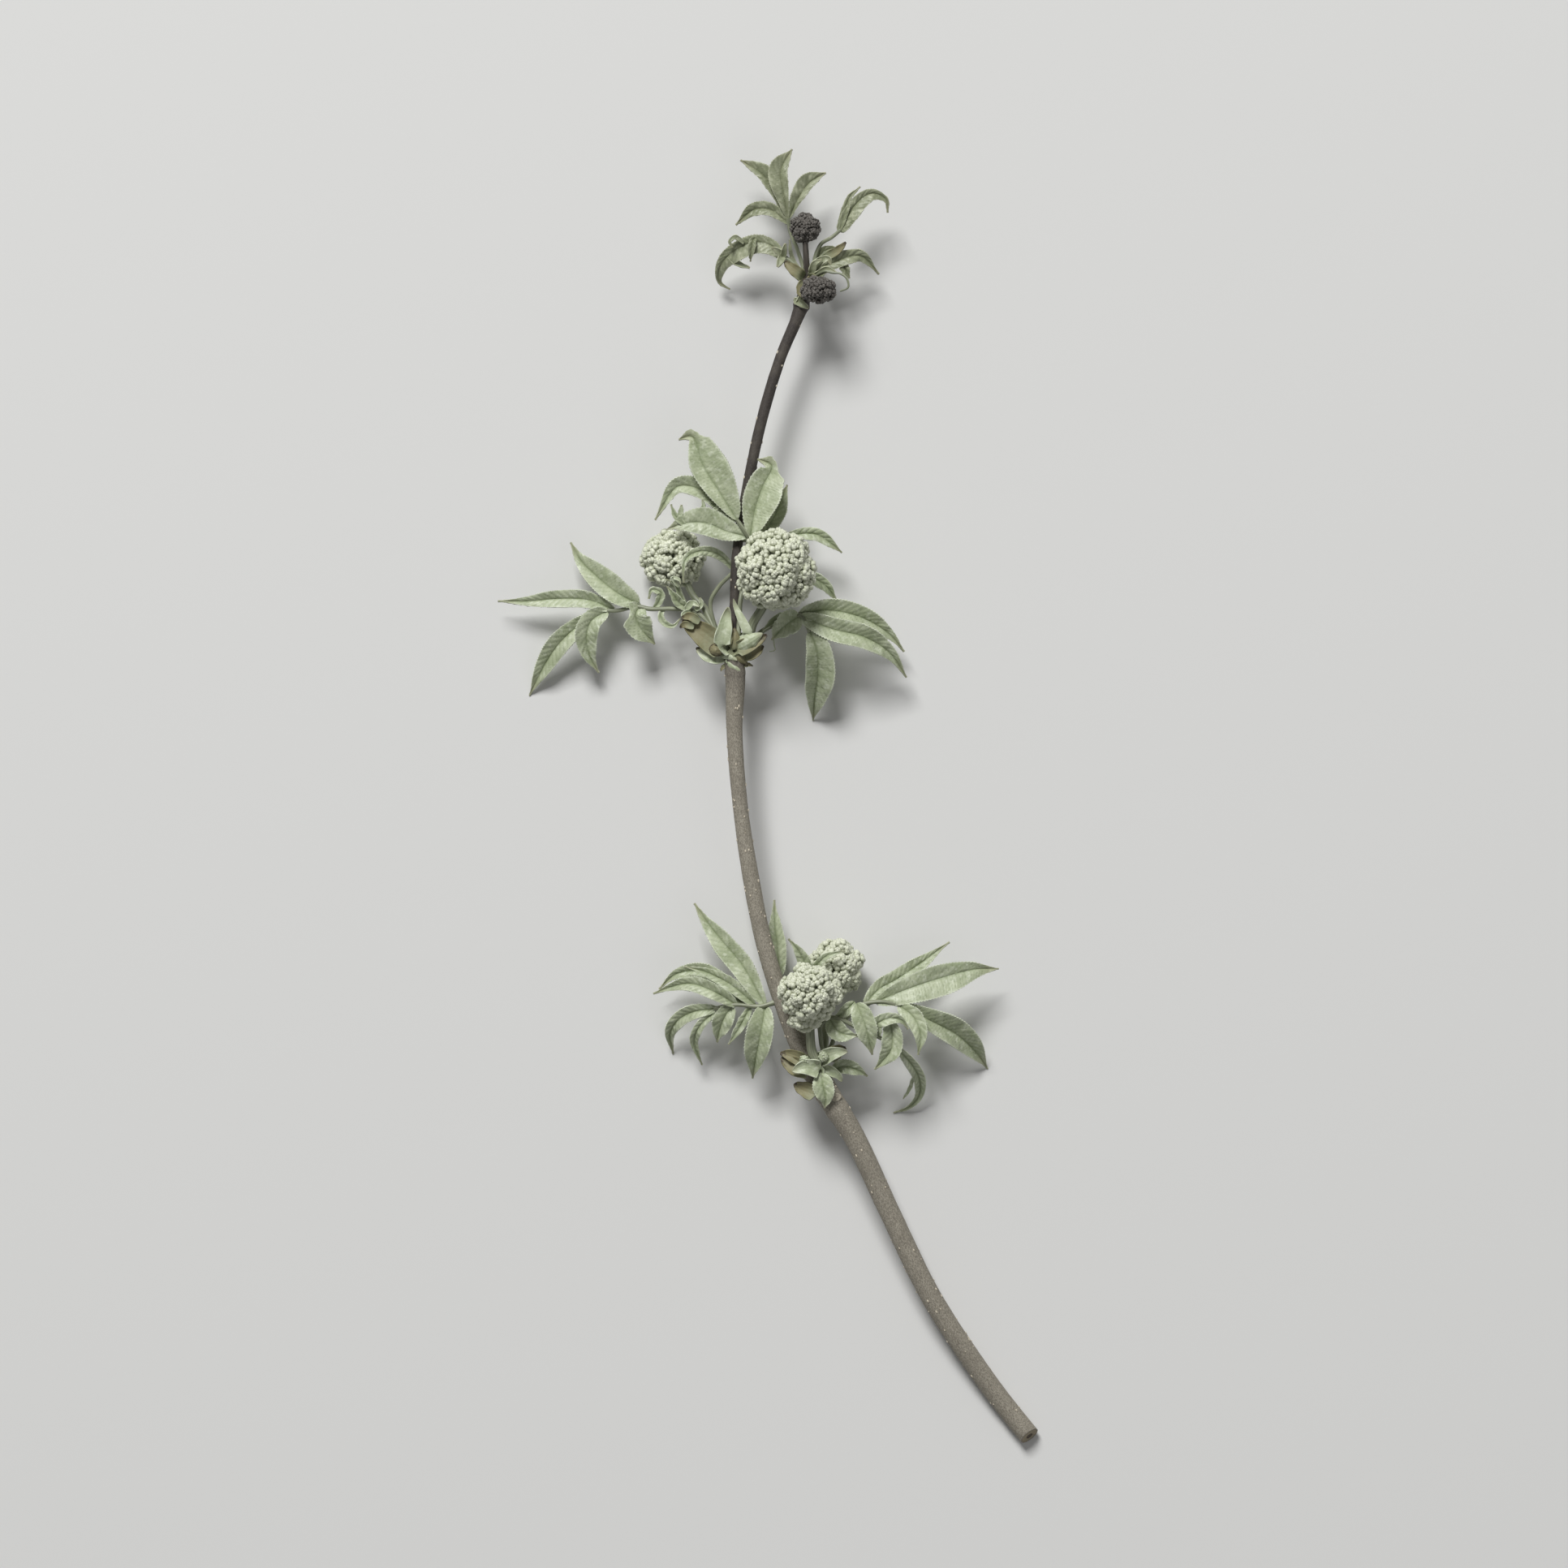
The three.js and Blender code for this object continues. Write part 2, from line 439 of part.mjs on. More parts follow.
// The stem, its radius followed point by point, trimmed flat underneath where its cut end rests.
function stemSolid() {
  const curve = curveThrough(STEM);
  const lengths = curve.getLengths(STEM_STEPS * 20);
  const total = lengths[lengths.length - 1];
  const shares = STEM.map((_, i) => lengths[Math.round((i / (STEM.length - 1)) * STEM_STEPS * 20)] / total);
  const radiusAt = (share) => {
    const after = Math.max(1, shares.findIndex((s) => s >= share - 1e-9));
    const within = (share - shares[after - 1]) / (shares[after] - shares[after - 1]);
    return THREE.MathUtils.lerp(STEM[after - 1][3], STEM[after][3], within);
  };
  const stem = solidOf(rod(curve, radiusAt, STEM_STEPS, STEM_SIDES));
  const scar = solidOf(ellipsoid(LEAF_SCAR.centre, LEAF_SCAR.radii, 8, 6));
  const ground = new THREE.BoxGeometry(60, 60, 10);
  ground.translate(STEM[0][0], STEM[0][1], -5);
  return stem.add(scar).subtract(solidOf(ground)).asOriginal().simplify(SLIVER);
}

// ---- Leaf blades --------------------------------------------------------------------------------

// Half width of a leaflet at a share of its length, 1 at its broadest: round base, long drawn-out tip.
function outline(share, peak) {
  const skew = Math.log(0.5) / Math.log(peak);
  return Math.pow(Math.sin(Math.PI * Math.pow(share, skew)), 0.6 + 0.8 * share);
}

// Half width of a bud scale at a share of its length: broad base, blunt tip.
function scaleOutline(share) {
  return Math.pow(Math.sin(Math.PI * (0.12 + 0.88 * Math.pow(share, 0.8))), 0.6);
}

// A blade folded up along its midrib, the same triangles on both faces, with teeth along both margins.
function bladeGeometry({ line, width, sides = [1, 1], peak = BROADEST, fold, teeth = 0 }) {
  const curve = curveThrough(line);
  const steps = teeth ? teeth * 2 : 5;
  const shape = teeth ? outline : scaleOutline;
  const rise = THREE.MathUtils.degToRad(fold);
  const down = BLADE_THICKNESS / Math.cos(rise);
  const upper = [];
  const lower = [];
  for (let i = 0; i <= steps; i++) {
    const share = i / steps;
    const tangent = curve.getTangentAt(share);
    const side = UP.clone().cross(tangent).normalize();
    const normal = tangent.clone().cross(side);
    const turn = curve.getTangentAt(Math.max(0, share - 0.06)).angleTo(curve.getTangentAt(Math.min(1, share + 0.06)));
    const bendRadius = (0.12 * curve.getLength()) / Math.max(turn, 1e-3);
    const isTooth = teeth > 0 && i % 2 === 1;
    const full = (width / 2) * shape(share, peak) * (teeth && !isTooth ? NOTCH_SHARE : 1);
    const halves = sides.map((part) => Math.max(BLADE_TIP_HALF_WIDTH, Math.min(full * part, TIGHTEST_BEND * bendRadius)));
    const lean = isTooth ? (TOOTH_LEAN * curve.getLength()) / steps : 0;
    const middle = curve.getPointAt(share);
    const margin = (sign, half) =>
      middle
        .clone()
        .addScaledVector(side, sign * half)
        .addScaledVector(normal, half * Math.tan(rise))
        .addScaledVector(tangent, lean);
    const row = [margin(1, halves[0]), middle, margin(-1, halves[1])];
    upper.push(...row);
    lower.push(...row.map((point) => point.clone().addScaledVector(normal, -down)));
  }
  const below = upper.length;
  const faces = [];
  for (let i = 0; i < steps; i++) {
    const [l, m, r] = [3 * i, 3 * i + 1, 3 * i + 2];
    const top = [...quad(m, m + 3, l + 3, l), ...quad(m + 3, m, r, r + 3)];
    faces.push(...top, ...top.map(([a, b, c]) => [a + below, c + below, b + below]));
    faces.push(...quad(l, l + 3, l + 3 + below, l + below));
    faces.push(...quad(r + 3, r, r + below, r + 3 + below));
  }
  const end = 3 * steps;
  faces.push(...quad(1, 0, below, below + 1), ...quad(2, 1, below + 1, below + 2));
  faces.push(...quad(end, end + 1, end + 1 + below, end + below));
  faces.push(...quad(end + 1, end + 2, end + 2 + below, end + 1 + below));
  return geometryOf([...upper, ...lower], faces);
}

// ---- Bud heads ----------------------------------------------------------------------------------

// Even points on a unit sphere along a golden spiral.
function spiralPoints(count) {
  const golden = Math.PI * (3 - Math.sqrt(5));
  return Array.from({ length: count }, (_, i) => {
    const height = 1 - (2 * i + 1) / count;
    const ring = Math.sqrt(1 - height * height);
    return new THREE.Vector3(ring * Math.cos(golden * i), ring * Math.sin(golden * i), height);
  });
}

// The valley corners round each point: the outward normals of the hull's faces that meet there, in order.
function cellCorners(points) {
  const hull = new ConvexHull().setFromPoints(points);
  const corners = new Map(points.map((point) => [point, []]));
  for (const face of hull.faces) {
    const corner = face.normal.clone().normalize();
    let edge = face.edge;
    do {
      corners.get(edge.head().point).push(corner);
      edge = edge.next;
    } while (edge !== face.edge);
  }
  for (const [point, list] of corners) {
    const east = new THREE.Vector3().crossVectors(Math.abs(point.z) < 0.9 ? UP : new THREE.Vector3(1, 0, 0), point);
    const north = new THREE.Vector3().crossVectors(point, east);
    list.sort((a, b) => Math.atan2(a.dot(north), a.dot(east)) - Math.atan2(b.dot(north), b.dot(east)));
  }
  return corners;
}

// A ball covered all over with rounded buds, each with a top, a shoulder ring and the valley round it.
function budBall({ centre, radii, buds }) {
  const vertices = [];
  const faces = [];
  const place = (direction, reach) => {
    vertices.push(direction.clone().setLength(reach).multiply(new THREE.Vector3(...radii)).add(new THREE.Vector3(...centre)));
    return vertices.length - 1;
  };
  for (const [point, corners] of cellCorners(spiralPoints(buds))) {
    const top = place(point, 1);
    const shoulder = corners.map((corner) => place(point.clone().lerp(corner, BUD_SHOULDER), 1 - BUD_SHOULDER_DROP));
    const valley = corners.map((corner) => place(corner, 1 - BUD_VALLEY_DEPTH));
    corners.forEach((_, i) => {
      const next = (i + 1) % corners.length;
      faces.push([top, shoulder[i], shoulder[next]]);
      faces.push(...quad(shoulder[i], valley[i], valley[next], shoulder[next]));
    });
  }
  return geometryOf(vertices, faces);
}

// ---- The branch ---------------------------------------------------------------------------------

const group = new THREE.Group();

function addPiece(name, solid, colour, roughness) {
  const material = new THREE.MeshStandardMaterial({ color: colour, roughness, metalness: 0 });
  const mesh = new THREE.Mesh(geometryOfSolid(solid), material);
  mesh.name = name;
  group.add(mesh);
}

addPiece("stem", stemSolid(), COLOURS.bark, 0.8);

for (const { name, colour, balls, stalk } of HEADS) {
  addPiece(name, union([...balls.map(budBall), stalkGeometry(stalk)]), colour, 0.6);
}

for (const { name, stalks, leaflets } of LEAVES) {
  const colour = name.includes("top") ? COLOURS.leafDark : COLOURS.leaf;
  addPiece(name, union([...stalks.map(stalkGeometry), ...leaflets.map(bladeGeometry)]), colour, 0.7);
}

for (const { name, blades, bud } of SCALES) {
  const pieces = blades.map(bladeGeometry);
  if (bud) pieces.push(ellipsoid(bud.centre, bud.radii, 8, 6));
  addPiece(name, union(pieces), COLOURS.scale, 0.7);
}

export default group;
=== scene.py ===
"""A cut elder branch in spring: woody stem, pinnate leaves and round heads of closed flower buds.

Lengths in the tables are millimetres in the frame's own axes; meshes are made in metres.
"""

from __future__ import annotations

import logging
import math
import random
from collections.abc import Callable
from dataclasses import dataclass, field
from enum import Enum

import bpy
import numpy as np
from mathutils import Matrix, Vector, noise

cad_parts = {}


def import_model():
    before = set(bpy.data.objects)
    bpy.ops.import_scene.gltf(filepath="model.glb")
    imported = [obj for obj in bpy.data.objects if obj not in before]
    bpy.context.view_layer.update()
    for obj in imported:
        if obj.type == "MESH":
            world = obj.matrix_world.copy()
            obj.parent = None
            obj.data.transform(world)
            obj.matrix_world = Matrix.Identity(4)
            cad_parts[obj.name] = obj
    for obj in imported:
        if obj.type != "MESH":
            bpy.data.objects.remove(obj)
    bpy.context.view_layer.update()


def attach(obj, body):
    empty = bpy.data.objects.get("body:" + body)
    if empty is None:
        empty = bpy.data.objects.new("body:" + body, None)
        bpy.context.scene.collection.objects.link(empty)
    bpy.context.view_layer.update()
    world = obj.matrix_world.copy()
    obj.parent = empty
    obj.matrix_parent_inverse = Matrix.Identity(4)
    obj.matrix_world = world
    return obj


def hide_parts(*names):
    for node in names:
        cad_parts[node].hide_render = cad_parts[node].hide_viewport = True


log = logging.getLogger("elder_branch")

MM = 0.001
Point = tuple[float, float, float]
Points = list[Point]
Faces = list[tuple[int, ...]]
Piece = bpy.types.Object
Material = bpy.types.Material
Socket = bpy.types.NodeSocket
Colour = str | Socket

BLADE_THICKNESS = 0.3  # a leaf's real thickness
FLOOR_GAP = 0.04  # how far the lowest leaves stay above the ground
BLADE_DROP = 0.3  # how far the leaf's face lies under the face of the thicker solid it replaces
TIP_HALF_WIDTH = 0.12
TIGHTEST_BEND = 0.75  # a blade is never wider than this share of its midrib's bending radius
TOOTH_SPACING = 0.78  # the widest distance between two teeth along a leaf's margin
SMALL_TOOTH_SPACING = 0.45  # the same along the smallest leaflets
TOOTH_DEPTH = 0.24  # the deepest notch between two teeth
STEPS_A_TOOTH = 3
STEPS_ACROSS = 14
VEIN_SPACING = 1.6  # distance between two side veins along the midrib
MIDRIB_DEPTH = 0.12  # how far the midrib lies under the blade's face
GROOVE_DEPTH = 0.1  # how far a side vein does
PUFF_HEIGHT = 0.12  # how far the tissue between two side veins stands out
BLISTER_HEIGHT = 0.18  # how far its uneven blisters do
STALK_SIDES = 14
STALK_STEP = 0.5  # distance between two rings of a stalk's mesh
STALK_GRAIN = 0.07  # depth of the ribs along a stalk
STALK_SWELL = 0.22  # how much thicker a stalk is at its foot, as a share
CUT_LEAN = 0.42  # how far the cut end's face leans back for each millimetre of its height
CUT_REACH = 6.0  # the length of stem that the leaning cut is spread over
ROOT_REACH = 6.5  # stalks and scales that start nearer than this to the stem's middle grow from it
ROOT_SHARE = 0.75  # the share of the stem's radius at which they start, under its skin
LENTICEL_HEIGHT = 0.22  # how far a lenticel's top stands over its middle
LENTICEL_DEPTH = 0.02  # how far its middle lies under the stem's skin
BUD_DIAMETER = 1.75
BUD_AREA = 0.7  # how much of the ball's surface one bud takes, in squares of its diameter
BUD_TILT = 0.28  # how far buds lean away from straight out
LAYER_GAP = 0.6  # how far the second layer of buds lies under the first, in buds
CORE_DEPTH = 1.05  # how far a ball's core does, in buds
CLUSTER_WIDTH = 2.5  # width of one of the small clusters that a head's buds are grouped in, in buds
CLUSTER_DOME = 0.52  # how far a cluster's edge lies under its top, in buds
CLUSTER_UNEVENNESS = 0.5  # how much deeper some clusters sit than others, in buds
HEAD_SWELL = 0.3  # how far the highest clusters stand out of the plain ball, in buds
# A head's buds take these forms in turn: the lobes that show, how far they swell, the depth of the crown's
# dimple and how clear the clefts between the lobes are.
BUD_FORMS = ((3, 0.08, 0.15, 0.85), (4, 0.1, 0.3, 1), (4, 0.1, 0.3, 1), (2, 0.12, 0.2, 1))


# ---- Curves and meshes --------------------------------------------------------------------------


class SmoothLine:
    """A smooth centripetal curve through a few points, walked by share of its length."""

    def __init__(self, points: Points, per_span: int = 60) -> None:
        """Samples the curve.

        Args:
            points: the points that the curve runs through, in order.
            per_span: how many samples lie between two points.
        """
        given = np.array(points, dtype=float)
        given = np.vstack([2 * given[0] - given[1], given, 2 * given[-1] - given[-2]])
        samples = [
            self._span(given[i : i + 4], np.linspace(0, 1, per_span, endpoint=False))
            for i in range(len(points) - 1)
        ]
        self.samples = np.vstack([*samples, given[-2:-1]])
        steps = np.linalg.norm(np.diff(self.samples, axis=0), axis=1)
        self.reach = np.concatenate([[0.0], np.cumsum(steps)])
        self.length = float(self.reach[-1])
        self.point_shares = [self.reach[i * per_span] / self.length for i in range(len(points))]

    @staticmethod
    def _span(corner: np.ndarray, t: np.ndarray) -> np.ndarray:
        """Returns points between corner[1] and corner[2] at the parameters t."""
        gap = np.maximum(np.linalg.norm(np.diff(corner, axis=0), axis=1) ** 0.5, 1e-4)
        leave = (corner[1] - corner[0]) / gap[0] - (corner[2] - corner[0]) / (gap[0] + gap[1])
        leave = (leave + (corner[2] - corner[1]) / gap[1]) * gap[1]
        arrive = (corner[2] - corner[1]) / gap[1] - (corner[3] - corner[1]) / (gap[1] + gap[2])
        arrive = (arrive + (corner[3] - corner[2]) / gap[2]) * gap[1]
        t = t[:, None]
        square = 3 * (corner[2] - corner[1]) - 2 * leave - arrive
        cube = 2 * (corner[1] - corner[2]) + leave + arrive
        return corner[1] + leave * t + square * t**2 + cube * t**3

    def at(self, share: np.ndarray) -> np.ndarray:
        """Returns the points at these shares of the curve's length."""
        reach = np.clip(share, 0, 1) * self.length
        return np.stack([np.interp(reach, self.reach, self.samples[:, k]) for k in range(3)], axis=1)

    def tangent(self, share: np.ndarray) -> np.ndarray:
        """Returns the unit directions at these shares of the curve's length."""
        step = 0.01
        return unit(self.at(np.minimum(share + step, 1)) - self.at(np.maximum(share - step, 0)))

    def spot(self, share: float) -> tuple[np.ndarray, np.ndarray]:
        """Returns the point and the unit direction at one share of the curve's length."""
        return self.at(np.array([share]))[0], self.tangent(np.array([share]))[0]

    def bend_radius(self, share: np.ndarray) -> np.ndarray:
        """Returns how tightly the curve bends at these shares, as a radius."""
        step = 0.06
        before = self.tangent(np.maximum(share - step, 0))
        after = self.tangent(np.minimum(share + step, 1))
        turn = np.arccos(np.clip((before * after).sum(axis=1), -1, 1))
        return 2 * step * self.length / np.maximum(turn, 1e-3)


def rooted(points: Points) -> Points:
    """Returns the points with one more in front, just inside the stem, if they start close outside it."""
    rows = np.array(STEM_ROWS, dtype=float)
    stem = SmoothLine([tuple(row[:3]) for row in rows], 20)
    start = np.array(points[0], dtype=float)
    apart = np.linalg.norm(stem.samples - start, axis=1)
    nearest = int(np.argmin(apart))
    share = stem.reach[nearest] / stem.length
    radius = np.interp(share, stem.point_shares, rows[:, 3])
    if not radius < apart[nearest] < ROOT_REACH:
        return points
    inside = stem.samples[nearest] + (start - stem.samples[nearest]) * ROOT_SHARE * radius / apart[nearest]
    return [tuple(inside), *points]


def unit(rows: np.ndarray) -> np.ndarray:
    """Returns a vector, or each row of several, at length 1."""
    return rows / np.linalg.norm(rows, axis=-1, keepdims=True)


def level_side(tangent: np.ndarray) -> np.ndarray:
    """Returns the level unit direction square to a direction, or to each row of several."""
    return unit(np.cross([0.0, 0.0, 1.0], tangent))


def deselect_all() -> None:
    """Leaves object mode with nothing selected."""
    if bpy.context.object and bpy.context.object.mode != "OBJECT":
        bpy.ops.object.mode_set(mode="OBJECT")
    bpy.ops.object.select_all(action="DESELECT")


def read_points(piece: Piece) -> np.ndarray:
    """Returns the piece's vertices as rows of x, y, z."""
    flat = np.empty(len(piece.data.vertices) * 3, dtype=np.float32)
    piece.data.vertices.foreach_get("co", flat)
    return flat.reshape(-1, 3).astype(float)


def write_points(piece: Piece, points_mm: np.ndarray) -> None:
    """Puts the piece's vertices at these places, given in millimetres."""
    piece.data.vertices.foreach_set("co", (points_mm * MM).astype(np.float32).ravel())
    piece.data.update()


def write_attributes(piece: Piece, **named: np.ndarray) -> None:
    """Stores an attribute under each name, from one number a vertex or one row of three."""
    for name, values in named.items():
        kind, key = ("FLOAT", "value") if values.ndim == 1 else ("FLOAT_VECTOR", "vector")
        layer = piece.data.attributes.new(name, kind, "POINT")
        layer.data.foreach_set(key, values.astype(np.float32).ravel())


def add_shape(add: Callable, finish: Material | None = None, **settings) -> tuple[Piece, np.ndarray]:
    """Adds a primitive at the origin, selected alone.

    Args:
        add: the operator that adds it.
        finish: its material.
        **settings: the operator's own settings.

    Returns:
        The primitive and its vertices.
    """
    deselect_all()
    add(location=(0, 0, 0), **settings)
    piece = bpy.context.object
    if finish:
        piece.data.materials.append(finish)
    return piece, read_points(piece)


def add_grid(finish: Material, steps: int, across: int) -> tuple[Piece, np.ndarray]:
    """Adds a flat grid with steps cells along x and across cells along y, both from -1 to 1.

    Returns:
        The grid and its vertices.
    """
    grid = bpy.ops.mesh.primitive_grid_add
    return add_shape(grid, finish, x_subdivisions=steps, y_subdivisions=across, size=2)


def add_ball(finish: Material, subdivisions: int = 5) -> tuple[Piece, np.ndarray]:
    """Adds a fine ball of radius 1, and returns it with its vertices."""
    return add_shape(bpy.ops.mesh.primitive_ico_sphere_add, finish, subdivisions=subdivisions, radius=1)


def small_ball(rings: int) -> tuple[np.ndarray, Faces]:
    """Returns the vertices and faces of a coarse ball of radius 1, and leaves no object behind."""
    ball, points = add_shape(bpy.ops.mesh.primitive_uv_sphere_add, segments=8, ring_count=rings, radius=1)
    faces = [tuple(face.vertices) for face in ball.data.polygons]
    bpy.data.objects.remove(ball, do_unlink=True)
    return points, faces


def join(pieces: list[Piece], name: str, crease: float = 50) -> Piece:
    """Joins meshes in one smooth-shaded object at the origin.

    Args:
        pieces: the meshes; the first one's slots come first.
        name: the joined object's name.
        crease: edges sharper than this many degrees stay sharp.

    Returns:
        The joined object.
    """
    deselect_all()
    for piece in pieces:
        piece.select_set(True)
    bpy.context.view_layer.objects.active = pieces[0]
    bpy.ops.object.join()
    whole = bpy.context.object
    whole.name = whole.data.name = name
    bpy.ops.object.shade_smooth_by_angle(angle=math.radians(crease))
    return whole


def tube(
    line: SmoothLine, radius: np.ndarray, sides: int, seed: int, grain: float, finish: Material
) -> Piece:
    """Rolls a grid into a closed rod along a line.

    Args:
        line: the rod's centre line.
        radius: the radius at even steps along the line.
        sides: how many sides the rod has.
        seed: chooses the grain's place in the noise.
        grain: depth of the lengthwise grain on the rod's surface.
        finish: the rod's material.

    Returns:
        The rod, with an attribute "straight" that holds each vertex's place on the rod laid straight.
    """
    steps = len(radius) - 1
    piece, flat = add_grid(finish, steps, sides)
    share = (flat[:, 0] + 1) / 2
    angle = -math.pi * flat[:, 1]
    along = share * line.length
    even = np.linspace(0, 1, steps + 1)
    wide = np.interp(share, even, radius) + grain * np.array(
        [
            noise.noise(Vector((3.2 * math.cos(a) + seed, 3.2 * math.sin(a), y * 0.22)))
            + 0.6 * noise.noise(Vector((7 * math.cos(a) + seed, 7 * math.sin(a), y * 0.7)))
            for a, y in zip(angle, along)
        ]
    )
    side, up = carried_frame(line.tangent(even))
    row = np.rint(share * steps).astype(int)
    turned = side[row] * np.cos(angle)[:, None] + up[row] * np.sin(angle)[:, None]
    write_points(piece, line.at(share) + turned * wide[:, None])
    straight = np.stack([wide * np.cos(angle), wide * np.sin(angle), along], axis=1) * MM
    write_attributes(piece, straight=straight)
    bpy.ops.object.mode_set(mode="EDIT")
    bpy.ops.mesh.select_all(action="SELECT")
    bpy.ops.mesh.remove_doubles(threshold=1e-6)
    bpy.ops.mesh.select_all(action="DESELECT")
    bpy.ops.mesh.select_mode(type="EDGE")
    bpy.ops.mesh.select_non_manifold()
    bpy.ops.mesh.fill_holes(sides=0)
    bpy.ops.mesh.select_all(action="SELECT")
    bpy.ops.mesh.normals_make_consistent(inside=False)
    bpy.ops.object.mode_set(mode="OBJECT")
    return piece


def carried_frame(tangent: np.ndarray) -> tuple[np.ndarray, np.ndarray]:
    """Carries a cross direction along a line without twist.

    Args:
        tangent: the line's unit directions, in order.

    Returns:
        Two unit directions for each step, square to the line and to each other.
    """
    start = np.cross(tangent[0], [0.0, 0.0, 1.0])
    side = [start / max(np.linalg.norm(start), 1e-6)]
    for way in tangent[1:]:
        side.append(unit(side[-1] - way * side[-1].dot(way)))
    sides = np.array(side)
    return sides, np.cross(tangent, sides)


# ---- Finishes -----------------------------------------------------------------------------------


def linear(hex_colour: str) -> tuple[float, float, float, float]:
    """Returns an sRGB hex colour as linear red, green, blue and alpha."""
    shares = [int(hex_colour[i : i + 2], 16) / 255 for i in (1, 3, 5)]
    red, green, blue = [v / 12.92 if v <= 0.04045 else ((v + 0.055) / 1.055) ** 2.4 for v in shares]
    return (red, green, blue, 1.0)


def per_metre(size_mm: float) -> float:
    """Returns a texture scale whose features are about this many millimetres across."""
    return 1 / (size_mm * MM)


class Tree:
    """A new material and its node tree, while the tree is filled."""

    def __init__(self, name: str) -> None:
        """Makes the material of this name, with an empty tree."""
        self.material = bpy.data.materials.new(name)
        self.material.use_nodes = True
        self.material.node_tree.nodes.clear()

    def add(self, kind: str, inputs: dict | None = None, out: str | int = 0, **settings) -> Socket:
        """Adds one shader node.

        Args:
            kind: the node's Blender type, without the word that all of them start with.
            inputs: socket name or number to a value, or to the output socket that feeds it.
            out: name or number of the output that is wanted.
            **settings: the node's own properties.

        Returns:
            The wanted output's socket.
        """
        node = self.material.node_tree.nodes.new("ShaderNode" + kind)
        for key, value in settings.items():
            setattr(node, key, value)
        for key, value in (inputs or {}).items():
            if isinstance(value, Socket):
                self.material.node_tree.links.new(value, node.inputs[key])
            else:
                node.inputs[key].default_value = value
        return node.outputs[out] if node.outputs else None

    def lay(
        self, under: Colour, mask: Socket, start: float, full: float, over: Colour, most: float = 1.0
    ) -> Socket:
        """Lays one colour over another where a mask says so.

        Args:
            under: the colour underneath, a hex string or a socket.
            mask: the value that says where the upper colour shows.
            start: the mask's value at which the upper colour starts to show.
            full: the mask's value at which it shows most.
            over: the upper colour, a hex string or a socket.
            most: how much of the upper colour shows there, from 0 to 1.

        Returns:
            The mixed colour's socket.
        """
        share = self.add("MapRange", {"Value": mask, "From Min": start, "From Max": full, "To Max": most})
        sides = [linear(side) if isinstance(side, str) else side for side in (under, over)]
        inputs = {0: share, 6: sides[0], 7: sides[1]}
        return self.add("Mix", inputs, 2, data_type="RGBA", clamp_factor=True)

    def close(
        self, colour: Colour, roughness: float, reliefs: list[tuple[Socket, float, float]]
    ) -> Material:
        """Adds the surface over its reliefs, which ends the tree.

        Args:
            colour: the surface's colour, a hex string or a socket.
            roughness: the surface's roughness.
            reliefs: each relief's height, its strength and its depth in millimetres.

        Returns:
            The material.
        """
        colour = linear(colour) if isinstance(colour, str) else colour
        inputs = {"Base Color": colour, "Roughness": roughness}
        for height, strength, depth in reliefs:
            relief = {"Height": height, "Strength": strength, "Distance": depth * MM}
            if "Normal" in inputs:
                relief["Normal"] = inputs["Normal"]
            inputs["Normal"] = self.add("Bump", relief)
        self.add("OutputMaterial", {"Surface": self.add("BsdfPrincipled", inputs)})
        return self.material


@dataclass(frozen=True)
class LeafFinish:
    """Living leaf: a waxy cuticle over blistered tissue, so a soft broad gloss with no clear highlight."""

    name: str = "elder_leaf"
    blade: str = "#b9c1a3"
    hollow: str = "#a1ab8a"
    vein: str = "#848f6d"
    # rim is the pale of the painted light shining through the margins, and also of the pale flecks
    rim: str = "#d6dcc6"
    tip: str = "#a09d80"

    def build(self) -> Material:
        """Returns the leaf's material; it reads the blade's own vein and margin attributes, and paints light
        shining through the margin.
        """
        tree = Tree(self.name)
        place = tree.add("TexCoord", out="Object")
        patches = tree.add("TexNoise", {"Vector": place, "Scale": per_metre(4.0), "Detail": 4.0})
        colour = tree.lay(self.hollow, patches, 0.36, 0.64, self.blade)
        flecks = tree.add("TexNoise", {"Vector": place, "Scale": per_metre(1.3), "Detail": 5.0})
        colour = tree.lay(colour, flecks, 0.52, 0.66, self.rim, 0.55)
        # The rim mark paints the outermost tenth of the blade pale: painted light shining through the thin
        # margin.
        marks = (("vein", 0.0, self.vein, 0.75), ("rim", 0.9, self.rim, 0.8), ("share", 0.8, self.tip, 0.6))
        for name, start, shade, most in marks:
            mark = tree.add("Attribute", out="Fac", attribute_name=name)
            colour = tree.lay(colour, mark, start, 1.0, shade, most)
        cell = {"Vector": place, "Scale": per_metre(0.75)}
        cells = tree.add("TexVoronoi", cell, "Distance", feature="DISTANCE_TO_EDGE")
        net = tree.add("MapRange", {"Value": cells, "From Max": 0.35})
        fibres = tree.add("TexNoise", {"Vector": place, "Scale": per_metre(0.35), "Detail": 3.0})
        return tree.close(colour, 0.46, [(net, 0.2, 0.1), (fibres, 0.3, 0.06)])


